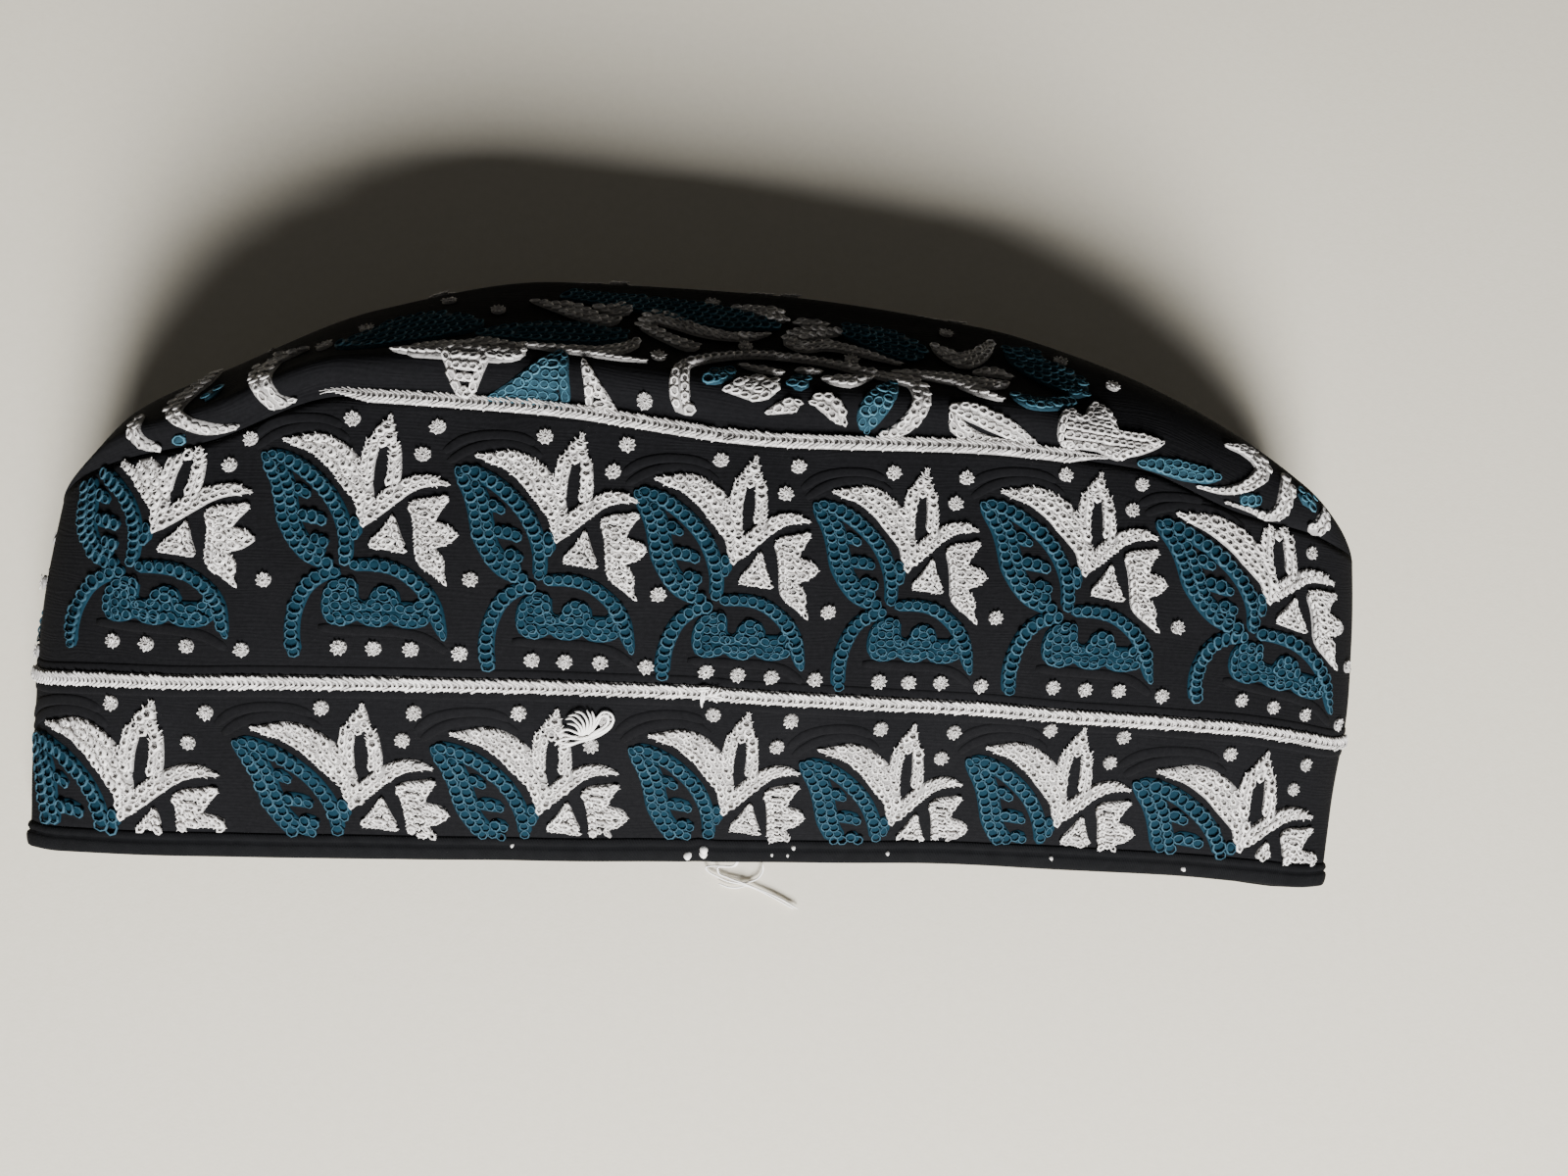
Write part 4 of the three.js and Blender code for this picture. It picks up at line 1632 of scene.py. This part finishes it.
@dataclass(frozen=True)
class ThreadLook:
    """A thread's sizes in one stitch, as shares of the stitch's own width, and its height over the cloth."""

    radius: float
    rise: float
    unevenness: float
    seed: int
    lift: float

    def inputs(self) -> dict[str, float | int]:
        """Give the values of a stitch tree's inputs by name."""
        return {
            "Loop Length": 1.0,
            "Loop Width": 1.0,
            "Thread Radius": self.radius,
            "Rise": self.rise,
            "Unevenness": self.unevenness,
            "Seed": self.seed,
        }


WHITE_LOOK = ThreadLook(radius=0.15, rise=0.2, unevenness=0.16, seed=7, lift=0.42)
TEAL_LOOK = ThreadLook(radius=0.085, rise=0.15, unevenness=0.17, seed=11, lift=0.36)
DOT_LOOK = ThreadLook(radius=0.15, rise=0.3, unevenness=0.24, seed=19, lift=0.4)
BRAID_LOOK = ThreadLook(radius=0.1, rise=0.14, unevenness=0.08, seed=23, lift=0.3)
STRAND_LOOK = ThreadLook(radius=0.1, rise=0.1, unevenness=0.12, seed=29, lift=0.62)
FRINGE_LOOK = ThreadLook(radius=0.065, rise=0.1, unevenness=0.16, seed=31, lift=0.55)


@dataclass(frozen=True)
class Padding:
    """The raised ground under sewn shapes: strips with a rounded top."""

    height: float
    spare: float
    softness: float = 1.0
    sunk: float = 0.3
    step: float = 1.2
    end_width: float = 0.35
    end_slope: float = 1.6
    profile: Rows = ((-1, 0), (-0.86, 0.62), (-0.45, 0.92), (0, 1), (0.45, 0.92), (0.86, 0.62), (1, 0))

    def strip(self, surface: ClothSurface, trace: Trace) -> Solid:
        """Build the closed strip along a trace.

        Args:
            surface: The cloth.
            trace: The strip's centre line, in place on the cloth's grid.

        Returns:
            Points and faces.
        """
        shares, domes = np.array(self.profile).T
        domes = domes**self.softness * self.height
        domes[[0, -1]] = -self.sunk
        at = np.linspace(0, trace.s[-1], max(2, int(trace.s[-1] / self.step) + 1))
        u, v, half, heading = trace.read(at)
        to_end = np.minimum(at, at[-1] - at) / np.maximum(half, 0.1)
        taper = np.sqrt(np.clip(self.end_slope * to_end, self.end_width**2, 1.0))
        reach = (half * taper + self.spare)[:, None] * shares
        side_u, side_v = -np.sin(heading)[:, None] * reach, np.cos(heading)[:, None] * reach
        points = surface.at(u[:, None] + side_u, v[:, None] + side_v, np.broadcast_to(domes, reach.shape))
        return points.reshape(-1, 3), sleeve_faces(len(at), len(shares))


WHITE_PADDING = Padding(height=0.5, spare=0.05)
TEAL_PADDING = Padding(height=0.42, spare=0.4)
CORD_PADDING = Padding(height=0.24, spare=0.45, softness=1.8)


# The cap's sub-assemblies


def ride(piece: bpy.types.Object) -> None:
    """Let a piece move with the cap and log it."""
    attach(piece, BODY)
    LOG.info("%s: %d triangles", piece.name, sum(len(face.vertices) - 2 for face in piece.data.polygons))


@dataclass
class CapCloth:
    """The band, the crown and the rim binding as fine cloth meshes."""

    form: PressedForm
    band: BandSurface
    crown: CrownSurface
    binding_depth: float = 5.6
    binding_proud: float = 0.75
    binding_roundness: float = 0.45
    binding_steps: tuple[int, int] = (14, 6)
    tucked: float = 0.6
    groove_share: float = 0.66
    groove_depth: float = 0.55
    groove_width: float = 0.07
    ripple_height: float = 0.05
    ripple_rate: float = 2.1
    around_steps: int = 480
    band_steps: int = 46
    inner_steps: int = 18
    crown_lines: int = 240
    crown_steps: int = 90

    def build(self) -> None:
        """Build the three cloth pieces in place of the solids."""
        for make, node, slot in (
            (self._band, "band", "black_cloth"),
            (self._crown, "crown", "black_cloth"),
            (self._binding, "rim_binding", "binding_tape"),
        ):
            piece = make()
            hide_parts(node)
            ride(piece)

    def _around(self) -> tuple[Array, Array, Array]:
        """Give the places round the band, with their distances and wall lengths."""
        theta = np.arange(self.around_steps) * 2 * math.pi / self.around_steps
        return theta, self.band.u_at(theta), self.band.wall(theta)

    def _shell(self, name: str, rings: list[Array], grids: list[Array], finish: Finish) -> bpy.types.Object:
        """Join rings of points into a closed shell.

        Args:
            name: The piece's name.
            rings: The rings, up the outer face and back down the inner one.
            grids: The cloth grid's places of all rings.
            finish: The cloth's finish.

        Returns:
            The piece.
        """
        solid = np.concatenate(rings), ring_faces(len(rings), self.around_steps)
        return mesh_piece(name, solid, finish.build(), np.concatenate(grids))

    def _band(self) -> bpy.types.Object:
        """Build the band's cloth."""
        theta, u, wall = self._around()
        low = self.binding_depth - self.tucked
        up = [low + (wall - low) * share for share in np.linspace(0, 1, self.band_steps + 1)]
        down = [low + (wall - low) * share for share in np.linspace(1, 0, self.inner_steps + 1)]
        outer = [self.band.at(u, v) for v in up]
        inner = [self.form.tube(theta, v / wall, self.form.wall) for v in down]
        grids = [np.stack([u, v], -1) for v in up + down]
        return self._shell("band_cloth", outer + inner, grids, BLACK_CLOTH)

    def _binding(self) -> bpy.types.Object:
        """Build the rim binding, with the groove of its seam."""
        theta, u, wall = self._around()
        rings, grids = [], []
        for share in np.linspace(0, 1, self.binding_steps[0] + 1):
            v = np.full(theta.shape, self.binding_depth * share)
            swell = math.sin(math.pi * share) ** self.binding_roundness if 0 < share < 1 else 0.0
            groove = self.groove_depth * math.exp(-(((share - self.groove_share) / self.groove_width) ** 2))
            ripple = self.ripple_height * np.sin(u * self.ripple_rate) * swell
            rings.append(self.band.at(u, v, self.binding_proud * swell - groove + ripple))
            grids.append(np.stack([u, v], -1))
        for share in np.linspace(1, 0, self.binding_steps[1] + 1):
            v = self.binding_depth * share
            rings.append(self.form.tube(theta, v / wall, self.form.wall))
            grids.append(np.stack([u, np.full(theta.shape, 2 * self.binding_depth - v)], -1))
        return self._shell("binding_tape", rings, grids, BINDING_TAPE)

    def _crown_face(self, depth: float, base: int, rows: int) -> tuple[Solid, Array, Array]:
        """Build one face of the crown's cloth.

        Args:
            depth: The distance inward from the cloth's outer face.
            base: The number of its first point.
            rows: How many rows of faces there are from seam to seam.

        Returns:
            Points and outward faces, the points' grid places and the point numbers of its seam ring.
        """
        across = -np.cos(np.linspace(0, math.pi, self.crown_lines + 1))[1:-1]
        body = self.form.crown(across[:, None], np.linspace(0, math.pi, rows + 1)[None, :], depth)
        poles = self.form.crown(np.array([-1.0, 1.0]), np.array([0.0, 0.0]), depth)
        length, half = distances(body, 1), self.crown.half_across
        spread = np.broadcast_to(across[:, None] * half, length.shape)
        grid = np.stack([spread, length], -1).reshape(-1, 2)
        number = base + np.arange(length.size).reshape(length.shape)
        left, right = base + length.size, base + length.size + 1
        faces = []
        for step in range(rows):
            faces.append((left, number[0, step], number[0, step + 1]))
            faces.append((right, number[-1, step + 1], number[-1, step]))
            near, far = number[:, step], number[:, step + 1]
            faces += list(zip(near[:-1], near[1:], far[1:], far[:-1]))
        ring = np.concatenate([[left], number[:, 0], [right], number[::-1, -1]])
        points = np.concatenate([body.reshape(-1, 3), poles])
        return (points, faces), np.concatenate([grid, [[-half, 0.0], [half, 0.0]]]), ring

    def _crown(self) -> bpy.types.Object:
        """Build the crown's cloth, a shell that is closed along its seam edge."""
        (points, faces), grid, outer = self._crown_face(0.0, 0, self.crown_steps)
        wall, base = self.form.wall, len(points)
        (deep, deep_faces), deep_grid, inner = self._crown_face(wall, base, self.inner_steps)
        faces += [face[::-1] for face in deep_faces]
        faces += list(zip(outer, inner, np.roll(inner, -1), np.roll(outer, -1)))
        solid = np.concatenate([points, deep]), faces
        return mesh_piece("crown_cloth", solid, BLACK_CLOTH.build(), np.concatenate([grid, deep_grid]))


class Workshop:
    """The stitch trees and the finishes that the embroidery shares."""

    def __init__(self) -> None:
        """Build the trees and the finishes."""
        self.closed = StitchTree("closed_loop", StitchShape.LOOP, 6)
        self.loops = StitchTree("chain_loop", StitchShape.LOOP, 8)
        self.links = StitchTree("braid_link", StitchShape.LOOP, 8, 4)
        self.chevrons = StitchTree("open_strand", StitchShape.CHEVRON, 4)
        self.white, self.teal = WHITE_THREAD.build(), TEAL_THREAD.build()
        # The white and teal grounds are darker copies of their threads: painted shade between the loops.
        self.white_ground, self.teal_ground = WHITE_GROUND_PAINTED_SHADE.build(), TEAL_GROUND_PAINTED_SHADE.build()
        # The crown's teal finishes are lighter copies: painted light in the crown's shade.
        self.crown_teal, self.crown_teal_ground = TEAL_THREAD_PAINTED_LIGHT.build(), TEAL_GROUND_PAINTED_LIGHT_AND_SHADE.build()
        self.raised = BLACK_CLOTH.build()
        # The loose thread's lighter white is painted light.
        self.loose = LOOSE_THREAD_PAINTED_LIGHT.build()

    def chain(self, name: str, surface: ClothSurface, layout: Layout, thread: Thread) -> None:
        """Sew chain stitches.

        Args:
            name: The piece's name.
            surface: The cloth.
            layout: The stitches.
            thread: The thread.
        """
        if thread is Thread.TEAL:
            ride(self.loops.sew(name, surface, layout, TEAL_LOOK, self.dyed(surface)[0]))
            return
        ride(self.closed.sew(name, surface, layout, WHITE_LOOK, self.white))
        if isinstance(surface, BandSurface):
            edges = self.chevrons.sew(name + "_edges", surface, layout.fringe(), FRINGE_LOOK, self.white)
            ride(edges)

    def dyed(self, surface: ClothSurface) -> tuple[bpy.types.Material, bpy.types.Material]:
        """Give the finishes of the teal thread and its ground; on the crown they are lighter, painted light
        that lifts the crown's shade.
        """
        if isinstance(surface, CrownSurface):
            return self.crown_teal, self.crown_teal_ground
        return self.teal, self.teal_ground

    def ground(self, name: str, surface: ClothSurface, traces: list[Trace], thread: Thread) -> None:
        """Lay the raised ground under sewn shapes; under white and teal thread its darker colour is painted
        shade between the loops, and the crown's teal ground is also painted lighter, as painted light in the
        crown's shade.

        Args:
            name: The piece's name.
            surface: The cloth.
            traces: The shapes' centre lines.
            thread: The thread.
        """
        padding, material = {
            Thread.WHITE: (WHITE_PADDING, self.white_ground),
            Thread.TEAL: (TEAL_PADDING, self.dyed(surface)[1]),
            Thread.BLACK: (CORD_PADDING, self.raised),
        }[thread]
        strips = joined([padding.strip(surface, trace) for trace in traces])
        ride(mesh_piece(name, strips, material))

    def dots(self, name: str, surface: ClothSurface, places: Spots) -> None:
        """Sew round dots and their raised discs.

        Args:
            name: The piece's name.
            surface: The cloth.
            places: Where the dots are.
        """
        rosette, slot = Rosette(), Thread.WHITE.value
        ride(self.closed.sew(name, surface, rosette.layout(places), DOT_LOOK, self.white))
        discs = joined([rosette.disc_at(surface, *place) for place in places])
        # The discs' darker white is painted shade between the dots' petals.
        ride(mesh_piece(name + "_ground", discs, self.white_ground))


def traces_of(chart: dict[str, Rows]) -> list[Trace]:
    """Trace every shape of a chart.

    Args:
        chart: The shapes: rows of three numbers are a ribbon's, corners of two are an outline's.

    Returns:
        The ribbons.
    """
    found = []
    for rows in chart.values():
        found += Patch(np.array(rows)).traces() if len(rows[0]) == 2 else [Trace.through(rows)]
    return found


@dataclass
class Braid:
    """A white braid of nested chevrons round the band, with a raised black cord on each side."""

    shop: Workshop
    band: BandSurface
    pitch: float = 2.1
    half: float = 1.5
    link_length: float = 1.4
    strand_length: float = 2.0
    strand_width: float = 1.04
    cord_gap: float = 0.85
    cord_half: float = 0.55

    def layout(self, traces: list[Trace], pitch: float, length: float, width: float = 1.0) -> Layout:
        """Lay stitches along traces.

        Args:
            traces: The braid's centre lines.
            pitch: The distance between stitches.
            length: Their length against the pitch.
            width: Their width against the braid's.

        Returns:
            The stitches.
        """
        found = []
        for trace in traces:
            u, v, half, heading = trace.read(np.arange(0.5 * pitch, trace.s[-1], pitch))
            found.append(Layout(u, v, heading, np.full(u.shape, length * pitch), 2 * half * width))
        return Layout.joined(found)

    def build(self, name: str, traces: list[Trace]) -> None:
        """Build the braid.

        Args:
            name: The name that its pieces start with.
            traces: Its stretches.
        """
        shop, slot = self.shop, Thread.WHITE.value
        shop.ground(name + "_ground", self.band, traces, Thread.WHITE)
        links = self.layout(traces, self.pitch, self.link_length)
        ride(shop.links.sew(name, self.band, links, BRAID_LOOK, shop.white))
        strands = self.layout(traces, self.pitch / 2, self.strand_length, self.strand_width)
        ride(shop.chevrons.sew(name + "_strands", self.band, strands, STRAND_LOOK, shop.white))

    def cords(self, traces: list[Trace]) -> list[Trace]:
        """Give the centre lines of the black cords on both sides of the braid."""
        reach = self.half + self.cord_gap
        return [
            Trace.from_points(trace.u, trace.v + side, np.full(trace.u.shape, self.cord_half))
            for trace in traces
            for side in (-reach, reach)
        ]


@dataclass
class BandEmbroidery:
    """The lilies, leaves, dots, braids and cords sewn on the band."""

    shop: Workshop
    band: BandSurface
    motifs: int = 16
    drawn_pitch: float = 35.0
    end_gap: float = 56.0
    dot_radius: float = 1.4
    dot_room: float = 1.5
    low: float = 6.0
    low_room: float = 0.4
    high_room: float = 1.4
    seam_room: float = 1.2
    braid_half: float = 1.5
    seam_rise: float = 0.7
    seam_taper: tuple[float, float] = (9.0, 0.25)
    seam_samples: int = 600
    mid_samples: int = 1200
    seam_front: tuple[float, float] = (-84.4, 73.3)
    seam_back: tuple[float, float] = (math.pi + 0.45, 2 * math.pi - 0.45)
    upper_height: float = 88.0
    lower_height: float = 33.0

    def build(self) -> None:
        """Sew the whole band."""
        mid, seam = [self.mid_trace()], self.seam_traces()
        braid = Braid(self.shop, self.band, half=self.braid_half)
        braid.build("middle_braid", mid)
        braid.build("seam_braid", seam)
        for upper, row in ((True, "upper"), (False, "lower")):
            for chart, thread, chain, shape in (
                (LILY_ROWS, Thread.WHITE, WHITE_CHAIN, "lilies"),
                (LEAF_ROWS, Thread.TEAL, TEAL_CHAIN, "leaves"),
            ):
                self.shop.chain(f"{row}_{shape}", self.band, self.row(chart, chain, upper), thread)
                self.shop.ground(f"{row}_{shape}_ground", self.band, self.traces(chart, upper), thread)
        cords = self.traces(CORD_ROWS, True) + self.traces(CORD_ROWS, False)
        cords += braid.cords(mid)
        self.shop.ground("raised_cords", self.band, cords, Thread.BLACK)
        self.shop.dots("band_dots", self.band, self.dots())

    def seam_v(self, u: Array) -> Array:
        """Give the height of the crown seam."""
        return self.band.wall(self.band.theta(u))

    def mid_trace(self) -> Trace:
        """Give the middle braid's centre line, once round the band."""
        u = np.linspace(-self.band.start, self.band.round - self.band.start, self.mid_samples)
        return Trace.from_points(u, mid_braid_v(u), np.full(u.shape, self.braid_half))

    def seam_traces(self) -> list[Trace]:
        """Give the seam braid's centre lines on the front and the back."""
        found = []
        reach, least = self.seam_taper
        first, last = (float(self.band.u_at(np.array(theta))) for theta in self.seam_back)
        for start, stop in (self.seam_front, (first, last)):
            u = np.linspace(start, stop, self.seam_samples)
            taper = np.clip(np.minimum(u - start, stop - u) / reach, least, 1.0)
            v = self.seam_v(u) + self.seam_rise + 1.0 - taper
            found.append(Trace.from_points(u, v, self.braid_half * taper))
        return found

    def places(self, upper: bool) -> list[Place]:
        """Give the place of each motif, with those of the back at an even pitch.

        Args:
            upper: Whether the row is the upper one.

        Returns:
            The places.
        """
        rows, height = (UPPER_TIPS, self.upper_height) if upper else (LOWER_TIPS, self.lower_height)
        front = [Place(*row) for row in rows]
        first, last = front[-1].u + self.end_gap, front[0].u + self.band.round - self.end_gap
        spots = np.linspace(first, last, self.motifs - len(front))
        stretch = (spots[1] - spots[0]) / self.drawn_pitch
        return front + [Place(float(spot), height, stretch) for spot in spots]

    def clear(self, u: Array, v: Array, upper: bool) -> Array:
        """Say which places of a row of motifs are free of the binding and the braids.

        Args:
            u: Places along the band.
            v: Places up the band.
            upper: Whether the row is the upper one.

        Returns:
            True where a stitch may go.
        """
        braid = mid_braid_v(u)
        if upper:
            return (v > braid + self.braid_half + self.high_room) & (v < self.seam_v(u) - self.seam_room)
        return (v > self.low) & (v < braid - self.braid_half - self.low_room)

    def row(self, chart: dict, chain: ChainStitch, upper: bool) -> Layout:
        """Lay one row of motifs round the band.

        Args:
            chart: The motif's shapes.
            chain: The chain stitch that fills them.
            upper: Whether the row is the upper one.

        Returns:
            The stitches.
        """
        motif = chain.fill(traces_of(chart))
        whole = Layout.joined([motif.placed(place) for place in self.places(upper)])
        return whole.kept(self.clear(whole.u, whole.v, upper))

    def traces(self, chart: dict, upper: bool) -> list[Trace]:
        """Give the centre lines of one row of motifs, cut to the cloth.

        Args:
            chart: The motif's shapes.
            upper: Whether the row is the upper one.

        Returns:
            The centre lines.
        """
        found = []
        for place in self.places(upper):
            for trace in traces_of(chart):
                moved = trace.placed(place)
                found.extend(moved.cut(self.clear(moved.u, moved.v, upper)))
        return found

    def dots(self) -> Spots:
        """Give the places of the dots that have room."""
        found = []
        room = self.braid_half + self.dot_radius + self.dot_room
        for upper in (True, False):
            for place in self.places(upper):
                for dot in MOTIF_DOTS:
                    u, v = (float(part) for part in place.moved(*dot))
                    if upper:
                        v = max(v, float(mid_braid_v(u)) + room)
                    ends = np.array([v - self.dot_radius, v + self.dot_radius])
                    if self.clear(np.full(2, u), ends, upper).all():
                        found.append((u, v))
        return found


def mid_braid_v(u: Array) -> Array:
    """Give the height of the middle braid along the band."""
    keys, heights = zip(*MID_BRAID)
    around = keys[-1] - keys[0]
    wrapped = np.mod(np.asarray(u) + around / 2, around) - around / 2
    return np.interp(wrapped, keys, heights)


@dataclass
class CrownEmbroidery:
    """The flowers and leaves sewn on the crown, and the same pattern turned round on its back."""

    shop: Workshop
    crown: CrownSurface
    seam_room: float = 0.9
    ridge_lilies: tuple[float, ...] = (-108.0, -74.0, -37.0, 0.0, 37.0, 74.0, 108.0)
    ridge_rise: float = 15.0
    ridge_size: tuple[float, float] = (0.74, 0.54)

    def build(self) -> None:
        """Sew the whole crown."""
        for chart, thread, chain, shape in (
            (CROWN_WHITE_ROWS, Thread.WHITE, WHITE_CHAIN, "flowers"),
            (CROWN_TEAL_ROWS, Thread.TEAL, TEAL_CHAIN, "leaves"),
        ):
            front = traces_of(chart)
            ridge = self.ridge_traces(LILY_ROWS if thread is Thread.WHITE else {})
            traces = front + [self.turned(trace) for trace in front] + ridge
            layout = chain.fill(traces)
            layout = layout.kept(self.clear(layout.u, layout.v))
            self.shop.chain(f"crown_{shape}", self.crown, layout, thread)
            cut = [part for trace in traces for part in trace.cut(self.clear(trace.u, trace.v))]
            self.shop.ground(f"crown_{shape}_ground", self.crown, cut, thread)
        spots = list(CROWN_DOTS) + [self.turned_spot(*spot) for spot in CROWN_DOTS]
        self.shop.dots("crown_dots", self.crown, spots)

    def clear(self, u: Array, v: Array) -> Array:
        """Say which places are on the crown's cloth."""
        return (v > self.seam_room) & (v < self.crown.full_length(u) - self.seam_room)

    def turned_spot(self, u: float, v: float) -> tuple[float, float]:
        """Give a place turned round to the back of the crown."""
        return -u, float(self.crown.full_length(-u)) - v

    def turned(self, trace: Trace) -> Trace:
        """Give a trace turned round to the back of the crown."""
        return Trace.from_points(-trace.u, self.crown.full_length(-trace.u) - trace.v, trace.half)

    def ridge_traces(self, chart: dict) -> list[Trace]:
        """Give the small motifs along the crown's folded edge.

        Args:
            chart: The motif's shapes.

        Returns:
            Their centre lines.
        """
        found = []
        for u in self.ridge_lilies:
            tip = 0.5 * float(self.crown.full_length(u)) + self.ridge_rise
            found += [trace.placed(Place(u, tip, *self.ridge_size)) for trace in traces_of(chart)]
        return found


@dataclass(frozen=True)
class Strand:
    """A bare thread as a thin closed tube."""

    radius: float
    sides: int = 5
    end_share: float = 0.5
    end_step: float = 0.25
    across: tuple[float, float, float] = (0.13, 0.07, 1.0)

    def tube(self, places: Array) -> Solid:
        """Build the tube.

        Args:
            places: The points of its centre line.

        Returns:
            Points and faces.
        """
        ahead = unit(np.gradient(places, axis=0))
        aside = unit(np.cross(ahead, np.array(self.across)))
        over = np.cross(aside, ahead)
        angle = np.arange(self.sides) * 2 * math.pi / self.sides
        ends = np.minimum(np.arange(len(places)), np.arange(len(places))[::-1])
        radius = self.radius * np.minimum(self.end_share + self.end_step * ends, 1.0)[:, None, None]
        spokes = aside[:, None] * np.cos(angle)[:, None] + over[:, None] * np.sin(angle)[:, None]
        points = (places[:, None] + spokes * radius).reshape(-1, 3)
        return points, sleeve_faces(len(places), self.sides)


@dataclass
class LooseThreads:
    """The bare thread ends: a tuft on the front, a knot on the braid, a tail and specks at the rim."""

    shop: Workshop
    band: BandSurface
    step: float = 0.45
    speck_lift: float = 0.9
    speck_dome: float = 0.9

    def build(self) -> None:
        """Build the loose threads and the specks."""
        self.tubes("tuft_threads", TUFT_ROWS, Strand(0.26), True)
        self.tubes("knot_threads", KNOT_ROWS, Strand(0.24), True)
        self.tubes("tail_threads", TAIL_ROWS, Strand(0.2), False)
        self.piece("rim_dots", [self.speck(*row) for row in RIM_DOTS])

    def piece(self, name: str, solids: list[Solid]) -> None:
        """Make one piece of loose thread."""
        # Its lighter white is painted light.
        ride(mesh_piece(name, joined(solids), self.shop.loose))

    def tubes(self, name: str, chart: tuple[Rows, ...], strand: Strand, sewn: bool) -> None:
        """Build the strands of a chart as one piece.

        Args:
            name: The piece's name.
            chart: Its strands, row by row.
            strand: How thick they are.
            sewn: Whether the rows are u, v and lift on the band, not x, y and z in the frame.
        """
        solids = []
        for trace in (Trace.through(rows, self.step) for rows in chart):
            places = (trace.u, trace.v, trace.half)
            solids.append(strand.tube(self.band.at(*places) if sewn else np.stack(places, -1)))
        self.piece(name, solids)

    def speck(self, u: float, v: float, half: float) -> Solid:
        """Build a small round speck of thread on the band."""
        return Rosette(disc=half, height=self.speck_dome * half + self.speck_lift).disc_at(self.band, u, v)


@dataclass(frozen=True)
class Lamp:
    """A soft square light that faces the cap."""

    name: str
    spot: tuple[float, float, float]
    size: float
    power: float

    def build(self) -> None:
        """Build the light."""
        light = bpy.data.lights.new(self.name, "AREA")
        light.shape = "SQUARE"
        light.size = self.size
        light.energy = self.power
        holder = put(self.name, light)
        holder.location = self.spot
        x, y, z = self.spot
        holder.rotation_euler = (math.atan2(math.hypot(x, y), z), 0.0, math.atan2(x, -y))


@dataclass(frozen=True)
class Stage:
    """The floor, the light and the camera that the photo was taken from."""

    floor_reach: float = 3.0
    floor_drop: float = 1.9
    camera_spot: tuple[float, float, float] = (-14.493, -47.655, 272.3)
    camera_turn: tuple[float, float, float] = (10.31, -6.24, 1.82)
    lens: float = 27.045
    sensor: float = 36.0
    nearest: float = 0.01
    room_tint: tuple[float, float, float] = (1.0, 0.97, 0.93)
    room_light: float = 0.055
    window: Lamp = Lamp("window", (0.13, -1.07, 0.66), size=0.5, power=62.0)

    def build_camera(self) -> None:
        """Set the camera."""
        lens = bpy.data.cameras.new("camera")
        lens.sensor_width = self.sensor
        lens.lens = self.lens
        lens.clip_start = self.nearest
        camera = put("camera", lens)
        camera.location = tuple(part * MM for part in self.camera_spot)
        camera.rotation_euler = tuple(math.radians(angle) for angle in self.camera_turn)
        bpy.context.scene.camera = camera

    def build_room(self) -> None:
        """Build the floor and the light."""
        reach, drop = self.floor_reach, -self.floor_drop * MM
        mesh = bpy.data.meshes.new("floor")
        corners = [(x * reach, y * reach, drop) for x, y in ((-1, -1), (1, -1), (1, 1), (-1, 1))]
        mesh.from_pydata(corners, [], [(0, 1, 2, 3)])
        mesh.materials.append(PALE_FLOOR.build())
        put("floor", mesh)
        world = bpy.data.worlds.new("room")
        world.use_nodes = True
        sky = world.node_tree.nodes["Background"].inputs
        sky["Color"].default_value = shade(self.room_tint)
        sky["Strength"].default_value = self.room_light
        bpy.context.scene.world = world
        self.window.build()


def main() -> None:
    """Build the cap and its stage."""
    logging.basicConfig(level=logging.INFO, format="%(name)s %(message)s")
    stage = Stage()
    stage.build_camera()
    stage.build_room()
    form = PressedForm()
    band, crown = BandSurface(form), CrownSurface(form)
    CapCloth(form, band, crown).build()
    shop = Workshop()
    BandEmbroidery(shop, band).build()
    CrownEmbroidery(shop, crown).build()
    LooseThreads(shop, band).build()


if __name__ == "__main__":
    main()
